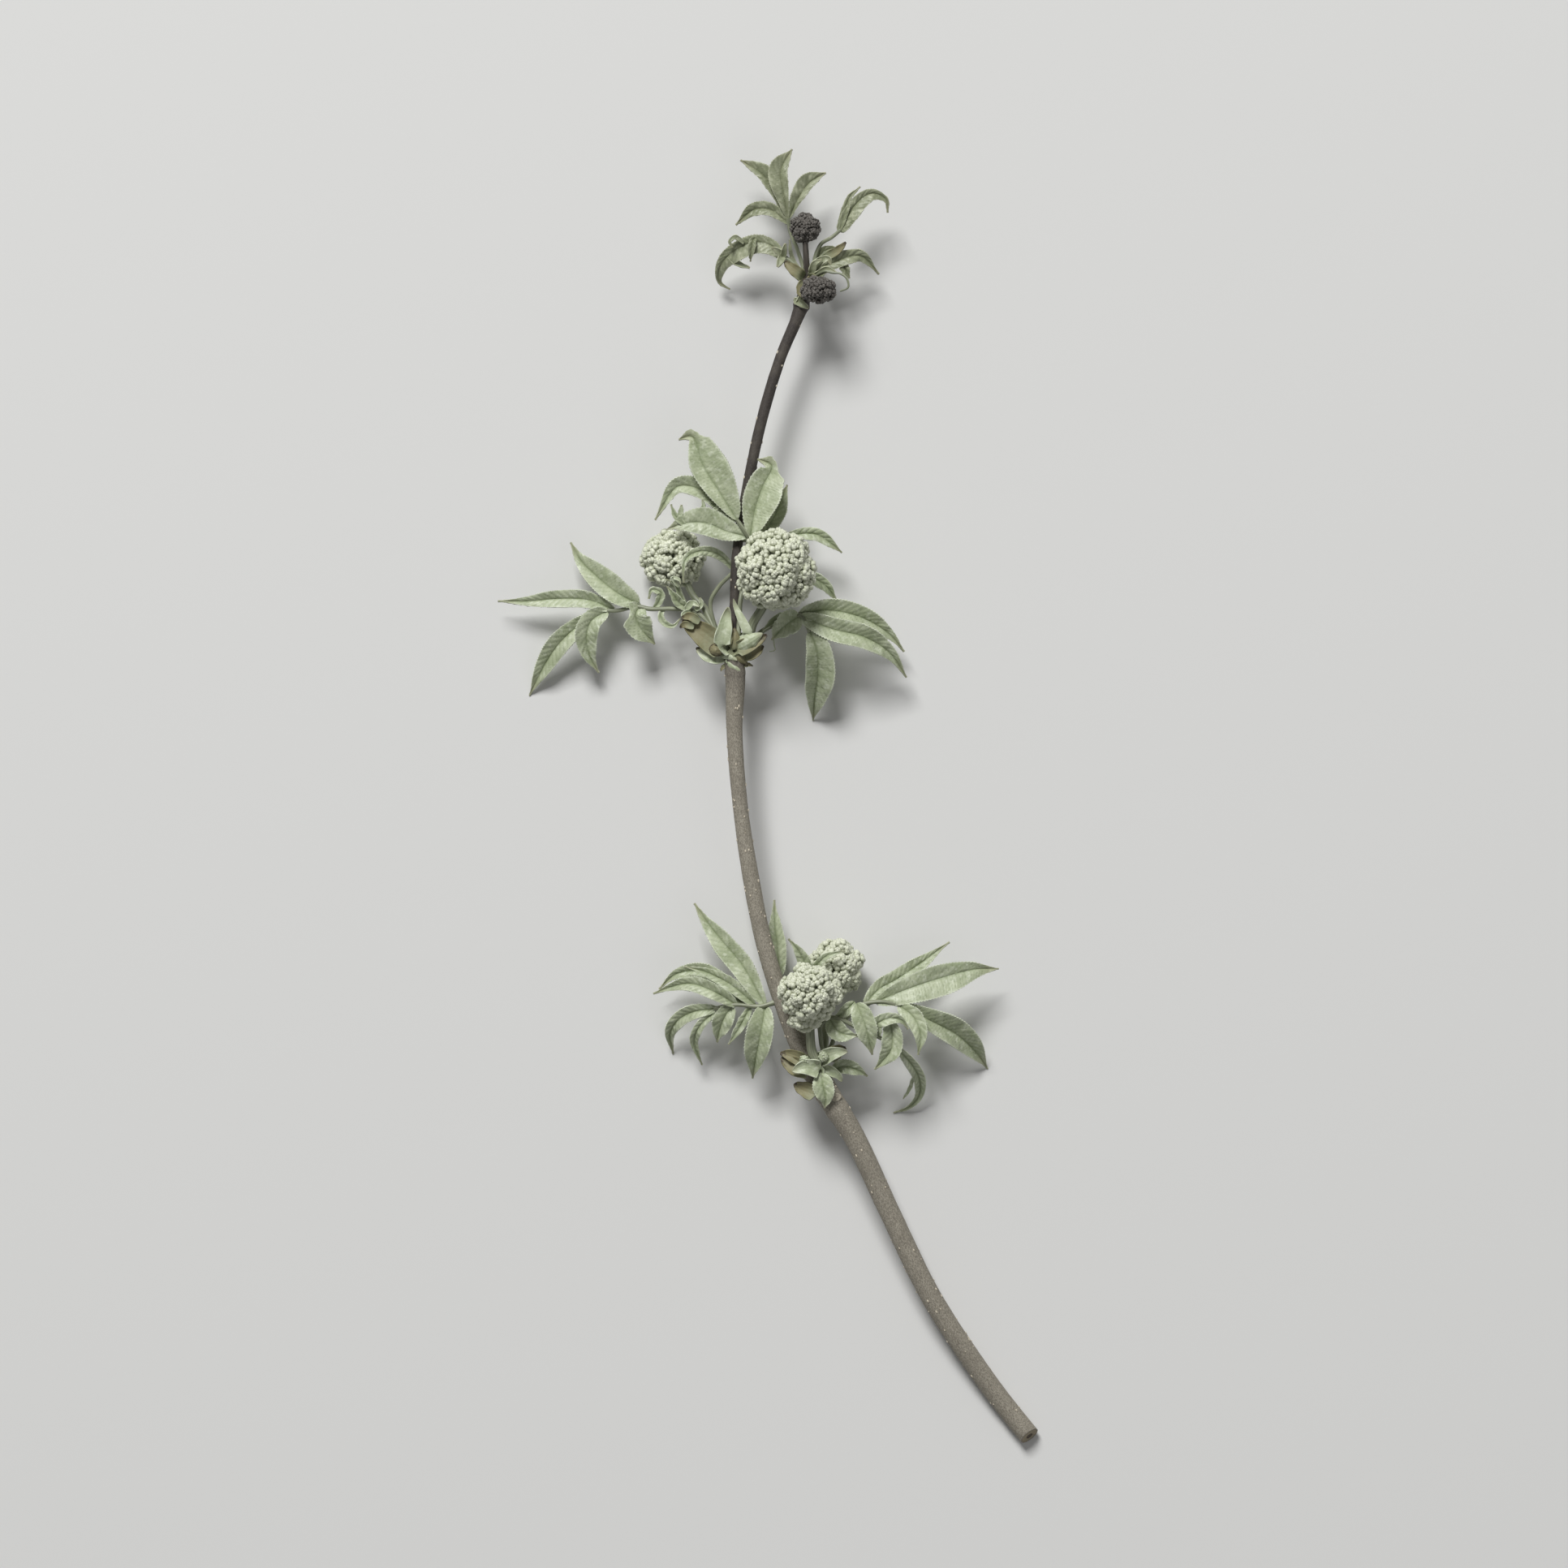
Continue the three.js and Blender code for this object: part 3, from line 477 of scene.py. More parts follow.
@dataclass(frozen=True)
class BudFinish:
    """Closed flower bud: smooth turgid skin with a satin gloss, paler on its crown than at its base."""

    name: str = "elder_bud"
    crown: str = "#e2e5d0"
    base: str = "#a6ab90"
    # core colours the ball's inside and each bud's foot darker: painted shade where the buds crowd
    core: str = "#5a5d4a"
    roughness: float = 0.42

    def build(self) -> Material:
        """Returns the bud's material; it reads each bud's height, tone and cleft attributes, and paints
        shade at the buds' feet, in their clefts and on their inner layer.
        """
        tree = Tree(self.name)
        place = tree.add("TexCoord", out="Object")
        height = tree.add("Attribute", out="Fac", attribute_name="height")
        tint = tree.add("Attribute", out="Fac", attribute_name="tint")
        cleft = tree.add("Attribute", out="Fac", attribute_name="cleft")
        skin = tree.lay(self.base, height, 0.25, 0.9, self.crown)
        # Painted shade: each bud darkens towards its foot, down to the core colour.
        skin = tree.lay(self.core, height, 0.0, 0.25, skin)
        # The tone varies at random from bud to bud, and the inner layer of buds is darkened as painted shade
        # under the outer one.
        skin = tree.lay(skin, tint, 0.0, 1.0, self.base, 0.45)
        # Painted shade: the clefts between the petals are darkened.
        skin = tree.lay(skin, cleft, 0.6, 1.0, self.base, 0.45)
        petals = tree.add("MapRange", {"Value": cleft, "From Min": 0.45, "To Min": 1.0, "To Max": 0.0})
        grain = tree.add("TexNoise", {"Vector": place, "Scale": per_metre(0.4), "Detail": 3.0})
        return tree.close(skin, self.roughness, [(petals, 0.65, 0.2), (grain, 0.4, 0.1)])


@dataclass(frozen=True)
class StalkFinish:
    """Green stalk: smooth juicy skin with fine lengthwise ribs, a little glossier than the leaf."""

    name: str = "elder_stalk"
    skin: str = "#989d84"
    rib: str = "#6f745e"

    def build(self) -> Material:
        """Returns the stalk's material; its ribs follow the stalk laid straight."""
        tree = Tree(self.name)
        straight = tree.add("Attribute", out="Vector", attribute_name="straight")
        drawn_out = tree.add("Mapping", {"Vector": straight, "Scale": (1.0, 1.0, 0.08)})
        ribs = tree.add("TexNoise", {"Vector": drawn_out, "Scale": per_metre(0.45), "Detail": 3.0})
        colour = tree.lay(self.rib, ribs, 0.35, 0.65, self.skin)
        return tree.close(colour, 0.45, [(ribs, 0.5, 0.1)])


@dataclass(frozen=True)
class BarkFinish:
    """Young elder bark: dull smooth skin with fine specks, pale and dusty on old wood, dark on new."""

    name: str = "elder_bark"
    old: str = "#a09a8c"
    old_dark: str = "#756f63"
    young: str = "#453f3a"
    young_dark: str = "#332e2b"
    lenticel: str = "#c2b9a6"
    # From the first y to the second the bark darkens: above the middle node this is the dark new wood, and
    # under the node it is painted shade.
    change_y_mm: tuple[float, float] = (23.0, 42.0)

    def build(self) -> Material:
        """Returns the bark's material; it darkens above the middle node, where the wood is this year's, and
        a little under that node, where the darkening is painted shade.
        """
        tree = Tree(self.name)
        y = tree.add("SeparateXYZ", {"Vector": tree.add("TexCoord", out="Object")}, "Y")
        straight = tree.add("Attribute", out="Vector", attribute_name="straight")
        drawn_out = tree.add("Mapping", {"Vector": straight, "Scale": (1.0, 1.0, 0.5)})
        grain = tree.add("TexNoise", {"Vector": drawn_out, "Scale": per_metre(0.22), "Detail": 4.0})
        blotches = tree.add("TexNoise", {"Vector": straight, "Scale": per_metre(5.0), "Detail": 3.0})
        old = tree.lay(self.old_dark, grain, 0.36, 0.62, self.old)
        young = tree.lay(self.young_dark, grain, 0.36, 0.62, self.young)
        colour = tree.lay(old, y, self.change_y_mm[0] * MM, self.change_y_mm[1] * MM, young)
        colour = tree.lay(colour, blotches, 0.5, 0.75, self.old_dark, 0.35)
        wart = tree.add("Attribute", out="Fac", attribute_name="wart")
        colour = tree.lay(colour, wart, 0.0, 1.0, self.lenticel)
        return tree.close(colour, 0.72, [(grain, 0.4, 0.1)])


@dataclass(frozen=True)
class CutWoodFinish:
    """Freshly cut wood and pith: dry and fibrous, with no gloss."""

    name: str
    light: str
    dark: str

    def build(self) -> Material:
        """Returns the cut face's material."""
        tree = Tree(self.name)
        place = tree.add("TexCoord", out="Object")
        fibres = tree.add("TexNoise", {"Vector": place, "Scale": per_metre(0.3), "Detail": 4.0})
        colour = tree.lay(self.dark, fibres, 0.3, 0.7, self.light)
        return tree.close(colour, 0.85, [(fibres, 0.6, 0.1)])


@dataclass(frozen=True)
class ScaleFinish:
    """Bud scale: papery dry skin, greenish at its base and dark brown at its tip."""

    name: str = "bud_scale"
    base: str = "#8f9577"
    middle: str = "#85805f"
    tip: str = "#453a2f"

    def build(self) -> Material:
        """Returns the scale's material; it darkens along the scale's own length."""
        tree = Tree(self.name)
        place = tree.add("TexCoord", out="Object")
        streaks = tree.add("TexNoise", {"Vector": place, "Scale": per_metre(0.7), "Detail": 4.0})
        share = tree.add("Attribute", out="Fac", attribute_name="share")
        ramp = {"Value": streaks, "From Min": 0.3, "From Max": 0.7, "To Min": -0.12, "To Max": 0.12}
        uneven = tree.add("Math", {0: share, 1: tree.add("MapRange", ramp)}, operation="ADD")
        colour = tree.lay(self.base, uneven, 0.1, 0.6, self.middle)
        colour = tree.lay(colour, uneven, 0.8, 1.0, self.tip)
        return tree.close(colour, 0.6, [(streaks, 0.6, 0.12)])


# ---- Leaves -------------------------------------------------------------------------------------


class Edge(Enum):
    """How a blade's margin runs."""

    SERRATED = "serrated"
    ENTIRE = "entire"


@dataclass
class Blade:
    """One leaflet or bud scale: a thin sheet folded up along its midrib."""

    line: Points
    width: float
    fold: float
    sides: tuple[float, float] = (1, 1)
    peak: float = 0.382
    edge: Edge = Edge.SERRATED
    seed: int = 0
    wave: float = 0.22

    def outline(self, share: np.ndarray) -> np.ndarray:
        """Returns the half width at these shares of the length, 1 at the broadest."""
        if self.edge is Edge.SERRATED:
            skew = math.log(0.5) / math.log(self.peak)
            return np.sin(np.pi * share**skew) ** (0.55 + 0.65 * share)
        return np.sin(np.pi * (0.12 + 0.88 * share**0.8)) ** 0.6

    def profile(self, off: np.ndarray) -> np.ndarray:
        """Returns the height of the folded blade at these shares of the way to its margin.

        A leaflet is creased along its midrib and eases out towards its margins; a scale is cupped.
        """
        if self.edge is Edge.SERRATED:
            return 1.45 * (np.sqrt(off**2 + 0.006) - 0.077) - 0.3 * off**2
        return 0.95 * off**2 + 0.06 * np.cos(off * 14)

    def build(self, finish: Material) -> Piece:
        """Shapes a grid into the blade, with its veins, blisters and teeth, and thickens it.

        Args:
            finish: the blade's material.

        Returns:
            The blade's mesh object.
        """
        line = SmoothLine(self.line if self.edge is Edge.SERRATED else rooted(self.line))
        spacing = TOOTH_SPACING
        if self.edge is Edge.SERRATED:
            spacing = np.clip(0.1 * self.width + 0.1, SMALL_TOOTH_SPACING, TOOTH_SPACING)
        teeth = max(5, round(line.length / spacing))
        piece, flat = add_grid(finish, teeth * STEPS_A_TOOTH, STEPS_ACROSS)
        share = np.clip((flat[:, 0] + 1) / 2, 0, 1)
        across = flat[:, 1]
        off = np.abs(across)
        tangent = line.tangent(share)
        side = level_side(tangent)
        normal = np.cross(tangent, side)
        part = np.where(across > 0, *self.sides)
        widest = TIGHTEST_BEND * line.bend_radius(share)
        half = np.minimum(self.width / 2 * part * self.outline(share), widest)
        half = np.maximum(half, TIP_HALF_WIDTH)
        rise = math.tan(math.radians(self.fold))
        height = half * rise * self.profile(off)
        ripple = np.sin(across * 0.9 + share * 19 + self.seed * 1.7)
        height += self.wave * off**3 * np.minimum(half / 2, 1) * ripple
        vein = np.zeros(len(share))
        reach = half.copy()
        if self.edge is Edge.SERRATED:
            relief, vein = self.relief(line.length, share, across, half)
            height += relief
            phase = (share * teeth + 0.3 * np.sign(across)) % 1.0
            tooth = np.where(phase < 0.7, phase / 0.7, (1 - phase) / 0.3)
            depth = np.minimum(TOOTH_DEPTH, 0.12 * half)
            reach += depth * (tooth - 0.6) * np.clip((off - 0.8) / 0.2, 0, 1)
        centre = line.at(share)
        points = centre + side * (across * reach)[:, None] + normal * (height - BLADE_DROP)[:, None]
        points[:, 2] = np.maximum(points[:, 2], BLADE_THICKNESS + FLOOR_GAP)
        write_points(piece, points)
        # rim is the share of the way out to the margin; the leaf's finish paints its outer end pale, as
        # painted light through the margin.
        write_attributes(piece, vein=vein, rim=off, share=share)
        solid = piece.modifiers.new("thickness", "SOLIDIFY")
        solid.thickness = BLADE_THICKNESS * MM
        solid.offset = -1
        bpy.ops.object.modifier_apply(modifier=solid.name)
        return piece

    def relief(
        self, length: float, share: np.ndarray, across: np.ndarray, half: np.ndarray
    ) -> tuple[np.ndarray, np.ndarray]:
        """Returns the blade's relief in millimetres and how near each vertex is to a vein, from 0 to 1."""
        off = np.abs(across)
        veins = max(4, round(length / VEIN_SPACING))
        slant = 1.1 * np.max(half) / length
        phase = share * veins - slant * veins * off**0.85 + 0.5 * (across > 0) + 0.35
        from_vein = np.abs((phase % 1.0) - 0.5) * 2  # 1 on a side vein, 0 midway between two
        fade = np.clip(off / 0.12, 0, 1) * np.clip((1 - off) / 0.25, 0, 1) * np.clip(half / 1.4, 0, 1)
        groove = np.clip((from_vein - 0.72) / 0.28, 0, 1) ** 1.5
        midrib = np.exp(-((across * half / 0.28) ** 2))
        puff = (1 - from_vein**2) * fade
        blister = np.array(
            [
                noise.noise(Vector((s * length * 0.55, a * h * 0.75, self.seed * 3.1)))
                for s, a, h in zip(share, across, half)
            ]
        )
        relief = PUFF_HEIGHT * puff + (BLISTER_HEIGHT * blister - GROOVE_DEPTH * groove) * fade
        return relief - MIDRIB_DEPTH * midrib, np.maximum(groove * fade, midrib)


@dataclass
class Stalk:
    """A green stalk: a petiole, a rachis or the peduncle of a bud head."""

    line: Points
    radii: tuple[float, float]
    seed: int = 0

    def build(self, finish: Material) -> Piece:
        """Returns the stalk's mesh: a tapered rod, a little thicker at its foot."""
        line = SmoothLine(rooted(self.line))
        steps = max(12, round(line.length / STALK_STEP))
        share = np.linspace(0, 1, steps + 1)
        radius = self.radii[0] + (self.radii[1] - self.radii[0]) * share
        radius = radius * (1 + STALK_SWELL * np.exp(-((share / 0.07) ** 2)))
        return tube(line, radius, STALK_SIDES, self.seed, STALK_GRAIN, finish)


@dataclass
class CompoundLeaf:
    """One pinnate leaf: its stalks and leaflets, which replace the solid of the same name."""

    node: str
    stalks: list[Stalk]
    blades: list[Blade]

    @property
    def is_young(self) -> bool:
        """Returns whether it is one of the small dull leaves at the branch's tip."""
        return "top" in self.node

    def build(self, blade_finish: Material, stalk_finish: Material) -> Piece:
        """Builds the leaf in one piece.

        Args:
            blade_finish: the material of its blades.
            stalk_finish: the material of its stalks.

        Returns:
            The leaf's object.
        """
        for index, item in enumerate([*self.blades, *self.stalks]):
            item.seed = len(self.node) * 7 + index
        parts = [blade.build(blade_finish) for blade in self.blades]
        parts += [stalk.build(stalk_finish) for stalk in self.stalks]
        return dress(join(parts, self.node + "_fine"), self.node)


def dress(piece: Piece, node: str) -> Piece:
    """Puts the piece in its node's place and reports it."""
    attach(piece, "root")
    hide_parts(node)
    log.info("%s: %d faces", piece.name, len(piece.data.polygons))
    return piece


# ---- Bud heads ----------------------------------------------------------------------------------


@dataclass
class BudBall:
    """A ball of closed buds that crowd in little domed clusters."""

    centre: Point
    radii: Point
    bud: float = BUD_DIAMETER
    clusters: np.ndarray = field(default_factory=lambda: np.zeros((0, 3)))
    cluster_depths: np.ndarray = field(default_factory=lambda: np.zeros(0))

    @property
    def mean_radius(self) -> float:
        """Returns the radius of the sphere of the same size."""
        return float(np.prod(self.radii) ** (1 / 3))

    def crowd(self, chance: np.random.Generator) -> None:
        """Chooses where the ball's clusters are and how deep each one sits."""
        count = max(7, round(4 * math.pi * (self.mean_radius / CLUSTER_WIDTH / self.bud) ** 2))
        self.clusters = spiral_directions(count, chance, 0.55)
        self.cluster_depths = chance.uniform(0, CLUSTER_UNEVENNESS, count)

    def depth(self, ways: np.ndarray) -> np.ndarray:
        """Returns how deep the clusters' surface lies under the ball's own in these directions."""
        closeness = ways @ self.clusters.T
        nearest = np.argmax(closeness, axis=1)
        angle = np.arccos(np.clip(closeness[np.arange(len(ways)), nearest], -1, 1))
        from_top = angle * self.mean_radius / (CLUSTER_WIDTH * self.bud / 2)
        in_buds = CLUSTER_DOME * np.minimum(from_top, 1.3) ** 2 + self.cluster_depths[nearest] - HEAD_SWELL
        return in_buds * self.bud

    def towards_clusters(self, ways: np.ndarray, pull: float) -> np.ndarray:
        """Returns the directions drawn a little towards the middle of their clusters."""
        nearest = np.argmax(ways @ self.clusters.T, axis=1)
        return unit(ways * (1 - pull) + self.clusters[nearest] * pull)

    def at(self, ways: np.ndarray, under: np.ndarray) -> np.ndarray:
        """Returns the points in these directions, this far under the ball's surface."""
        return np.array(self.centre) + ways * (np.array(self.radii) - under[:, None])


@dataclass
class BudHead:
    """A round head of closed flower buds on its stalk."""

    node: str
    slot: str
    balls: list[BudBall]
    stalk: Stalk
    bud: float = BUD_DIAMETER

    def build(self, bud_finish: Material, stalk_finish: Material) -> Piece:
        """Builds the head in one piece: its core, its buds and its stalk.

        Args:
            bud_finish: the material of its buds and core.
            stalk_finish: the material of its stalk.

        Returns:
            The head's object.
        """
        parts = []
        for index, ball in enumerate(self.balls):
            chance = np.random.default_rng(len(self.node) * 10 + index)
            ball.bud = self.bud
            ball.crowd(chance)
            for layer in (0, 1):
                parts.append(self.bud_layer(ball, layer, chance, bud_finish))
            parts.append(self.core(ball, bud_finish))
        parts.append(self.stalk.build(stalk_finish))
        return dress(join(parts, self.node + "_fine", 120), self.node)

    def bud_layer(
        self, ball: BudBall, layer: int, chance: np.random.Generator, finish: Material
    ) -> Piece:
        """Returns one layer of buds over a ball: 0 is the crowded outer one, 1 the loose one under it."""
        area = 4 * math.pi * ball.mean_radius**2
        count = max(12, round(area / (BUD_AREA * self.bud**2) * (1 - 0.5 * layer)))
        ways = ball.towards_clusters(spiral_directions(count, chance, 0.3), 0.1)
        size = self.bud / 2 * chance.uniform(0.78, 1.1, count)
        under = ball.depth(ways) + size + self.bud * (LAYER_GAP * layer + chance.uniform(0, 0.2, count))
        spots = ball.at(ways, under)
        spots[:, 2] = np.maximum(spots[:, 2], 1.25 * size + 0.02)
        forms, height, faces = bud_forms()
        corners = len(height)
        points = np.empty((count * corners, 3))
        for i in range(count):
            axis = unit(ways[i] + BUD_TILT * random_directions(1, chance)[0])
            side = unit(np.cross(axis, random_directions(1, chance)[0]))
            stretch_by = chance.uniform(0.9, 1.12, 3) * size[i]
            turned = (forms[i % len(forms)][0] * stretch_by) @ np.array([side, np.cross(axis, side), axis])
            points[i * corners : (i + 1) * corners] = spots[i] + turned
        buds = add_copies("buds", points, faces, count, finish)
        clefts = np.concatenate([forms[i % len(forms)][1] for i in range(count)])
        # Random tone for each bud, plus painted shade that darkens the inner layer.
        tint = np.repeat(chance.uniform(0, 1, count), corners) * 0.6 + 0.4 * layer
        write_attributes(buds, height=np.tile(height, count), cleft=clefts, tint=tint)
        return buds

    def core(self, ball: BudBall, finish: Material) -> Piece:
        """Returns the shaded inside of a ball, where the little stalks of the buds crowd together."""
        core, points = add_ball(finish)
        ways = unit(points)
        write_points(core, ball.at(ways, ball.depth(ways) + CORE_DEPTH * self.bud))
        unlit = np.zeros(len(ways))
        write_attributes(core, height=unlit, tint=unlit, cleft=unlit)
        return core


def bud_forms() -> tuple[list[tuple[np.ndarray, np.ndarray]], np.ndarray, Faces]:
    """Models the closed bud in the forms of BUD_FORMS.

    Returns:
        Each form's vertices with the crown towards +Z and how near each one is to a cleft between two
        petals, then each vertex's height from 0 to 1, and the faces.
    """
    points, faces = small_ball(6)
    turn = np.arctan2(points[:, 1], points[:, 0])
    flat = np.hypot(points[:, 0], points[:, 1])
    top = np.clip(points[:, 2] + 0.4, 0, 1)
    upper = np.clip(points[:, 2] + 0.6, 0, 1)
    crown = np.clip((points[:, 2] - 0.85) / 0.15, 0, 1)[:, None] * np.array([0, 0, 1])
    forms = []
    for lobes, swell, dimple, clearness in BUD_FORMS:
        form = points * (1 + swell * np.cos(lobes * turn) * flat * top)[:, None] - dimple * crown
        cleft = np.where(flat < 0.01, 1, 1 - np.abs(np.cos(lobes / 2 * turn)))
        forms.append((form, clearness * cleft * upper))
    return forms, np.clip((points[:, 2] + 1) / 2, 0, 1), faces


def random_directions(count: int, chance: np.random.Generator) -> np.ndarray:
    """Returns random unit vectors, one a row."""
    return unit(chance.normal(size=(count, 3)))


def spiral_directions(count: int, chance: np.random.Generator, jitter: float) -> np.ndarray:
    """Returns directions spread evenly over a sphere, then moved by this share of their spacing."""
    i = np.arange(count)
    level = 1 - (2 * i + 1) / count
    ring = np.sqrt(1 - level**2)
    turn = math.pi * (3 - math.sqrt(5)) * i
    ways = np.stack([ring * np.cos(turn), ring * np.sin(turn), level], axis=1)
    return unit(ways + jitter * math.sqrt(4 * math.pi / count) * random_directions(count, chance))


def add_copies(name: str, points_mm: np.ndarray, faces: Faces, count: int, finish: Material) -> Piece:
    """Adds one mesh made of many copies of a small shape.

    Args:
        name: the mesh's name.
        points_mm: the vertices of all copies, one copy after another.
        faces: the faces of one copy.
        count: how many copies there are.
        finish: the mesh's material.

    Returns:
        The mesh's object.
    """
    corners = len(points_mm) // count
    all_faces = [tuple(v + i * corners for v in face) for i in range(count) for face in faces]
    mesh = bpy.data.meshes.new(name)
    mesh.from_pydata((points_mm * MM).tolist(), [], all_faces)
    mesh.materials.append(finish)
    copies = bpy.data.objects.new(name, mesh)
    bpy.context.scene.collection.objects.link(copies)
    return copies


# ---- Stem ---------------------------------------------------------------------------------------


@dataclass
class Stem:
    """The woody stem, lying on its oblique cut end, with its node collars, leaf scars and lenticels."""

    node: str = "stem"
    slot: str = "bark"
    sides: int = 40
    step: float = 0.55
    grain: float = 0.05
    pith_share: float = 0.36
    bark_thickness: float = 0.32
    skin_inset: float = 0.05
    lenticels: int = 210
    old_wood_share: float = 0.62
    scar_centre: Point = (15.6, -73.4, 14)
    scar_radii: Point = (1.7, 1.3, 1.6)
    rows: list[tuple[float, float, float, float]] = field(default_factory=lambda: STEM_ROWS)
    collars: list[tuple[float, float, float]] = field(default_factory=lambda: STEM_COLLARS)

    def build(self, bark: Material, wood: Material, pith: Material) -> Piece:
        """Builds the stem in one piece.

        Args:
            bark: the material of its skin and lenticels.
            wood: the material of the ring of wood on its cut end.
            pith: the material of the cut end's soft middle.

        Returns:
            The stem's object.
        """
        line = SmoothLine([row[:3] for row in self.rows])
        steps = round(line.length / self.step)
        share = np.linspace(0, 1, steps + 1)
        radius = np.interp(share, line.point_shares, [row[3] for row in self.rows]) - self.skin_inset
        for y, height, width in self.collars:
            centre = self.share_at(line, y)
            radius = radius + height * np.exp(-(((share - centre) * line.length / width) ** 2))
        skin = tube(line, radius, self.sides, 3, self.grain, bark)
        points = read_points(skin) / MM
        end, inward = line.spot(0.0)
        near = np.clip(1 - (points - end) @ inward / CUT_REACH, 0, 1)
        points += (CUT_LEAN * points[:, 2] * near)[:, None] * inward
        points[:, 2] = np.maximum(points[:, 2], 0.01)
        write_points(skin, points)
        write_attributes(skin, wart=np.zeros(len(points)))
        parts = [skin, self.warts(line, radius, bark), self.scar(bark)]
        parts += self.cut_end(line, radius[0], wood, pith)
        return dress(join(parts, "stem_fine"), self.node)

    @staticmethod
    def share_at(line: SmoothLine, y: float) -> float:
        """Returns the share of the line's length at which it passes this y."""
        shares = np.linspace(0, 1, 800)
        return float(shares[np.argmin(np.abs(line.at(shares)[:, 1] - y))])

    def warts(self, line: SmoothLine, radius: np.ndarray, bark: Material) -> Piece:
        """Returns the lenticels: small raised corky ovals, long along the stem."""
        chance = random.Random(11)
        shape, faces = small_ball(5)
        points = []
        old, young = (0.02, self.old_wood_share), (self.old_wood_share, 0.97)
        for i in range(self.lenticels):
            share = chance.uniform(*(old if i % 5 else young))
            middle, tangent = line.spot(share)
            angle = chance.uniform(0, 2 * math.pi)
            side = level_side(tangent)
            out = math.cos(angle) * side + math.sin(angle) * np.cross(tangent, side)
            wide = np.interp(share, np.linspace(0, 1, len(radius)), radius)
            size = chance.uniform(0.13, 0.29)
            length = size * chance.uniform(1.2, 1.9)
            spread = np.array([np.cross(out, tangent) * size, tangent * length, out * LENTICEL_HEIGHT])
            place = middle + out * (wide - LENTICEL_DEPTH) + shape @ spread
            place[:, 2] = np.maximum(place[:, 2], 0.01)
            points.append(place)
        warts = add_copies("lenticels", np.vstack(points), faces, self.lenticels, bark)
        write_attributes(warts, wart=np.ones(len(warts.data.vertices)))
        return warts

    def scar(self, bark: Material) -> Piece:
        """Returns the knob that a fallen leaf has left on the lower node."""
        knob, points = add_ball(bark)
        lumps = np.array([noise.noise(Vector(p * 2.2)) for p in points])
        outward = points[:, 2] + points[:, 0] * 0.4
        cup = 0.3 * np.clip((outward - 0.75) / 0.25, 0, 1)
        place = points * np.array(self.scar_radii) * (1 + 0.12 * lumps - cup)[:, None]
        write_points(knob, place + np.array(self.scar_centre))
        write_attributes(knob, wart=np.clip((outward - 0.5) / 0.4, 0, 0.6), straight=place * MM)
        return knob

    def cut_end(self, line: SmoothLine, radius: float, wood: Material, pith: Material) -> list[Piece]:
        """Returns the cut face's ring of wood and its soft pith, just proud of the stem's end."""
        centre, tangent = line.spot(0.0)
        side = level_side(tangent)
        up = np.cross(tangent, side) + CUT_LEAN * tangent
        centre = centre + CUT_LEAN * centre[2] * tangent
        discs = []
        rings = ((radius - self.bark_thickness, 0.04, wood), (radius * self.pith_share, 0.07, pith))
        for reach, proud, finish in rings:
            disc, points = add_shape(
                bpy.ops.mesh.primitive_cylinder_add, finish, vertices=48, radius=1, depth=2
            )
            place = centre + points[:, :1] * reach * side + points[:, 1:2] * reach * up
            place = place + tangent * (points[:, 2:3] * 0.2 + 0.2 - proud)
            place[:, 2] = np.maximum(place[:, 2], 0.02)
            write_points(disc, place)
            discs.append(disc)
        return discs


# ---- Bud scales and small bracts ----------------------------------------------------------------


@dataclass
class ScaleGroup:
    """Bud scales at a node, with the small axillary bud between them where there is one."""

    node: str
    blades: list[Blade]
    bud: tuple[Point, Point] | None = None
    slot: str = "bud_scale"

    def build(self, finish: Material) -> Piece:
        """Returns the group's object."""
        parts = []
        for index, blade in enumerate(self.blades):
            blade.edge = Edge.ENTIRE
            blade.seed = index + len(self.node)
            parts.append(blade.build(finish))
        if self.bud:
            parts.append(self.axillary_bud(finish))
        return dress(join(parts, self.node + "_fine"), self.node)

    def axillary_bud(self, finish: Material) -> Piece:
        """Returns a small closed bud, wrapped by overlapping scales that show as low steps."""
        centre, radii = self.bud
        bud, points = add_shape(
            bpy.ops.mesh.primitive_uv_sphere_add, finish, segments=40, ring_count=30, radius=1
        )
        turn = np.arctan2(points[:, 1], points[:, 0])
        steps = 0.09 * ((points[:, 2] * 1.6 + turn / (2 * math.pi) * 2) % 1.0)
        taper = 1 - 0.25 * np.clip(points[:, 2], 0, 1) ** 2
        shape = points * (0.92 + steps)[:, None]
        shape[:, :2] *= taper[:, None]
        write_points(bud, shape * np.array(radii) + np.array(centre))
        write_attributes(bud, share=0.95 - 0.5 * np.clip(points[:, 2] - 0.3, 0, 1))
        return bud


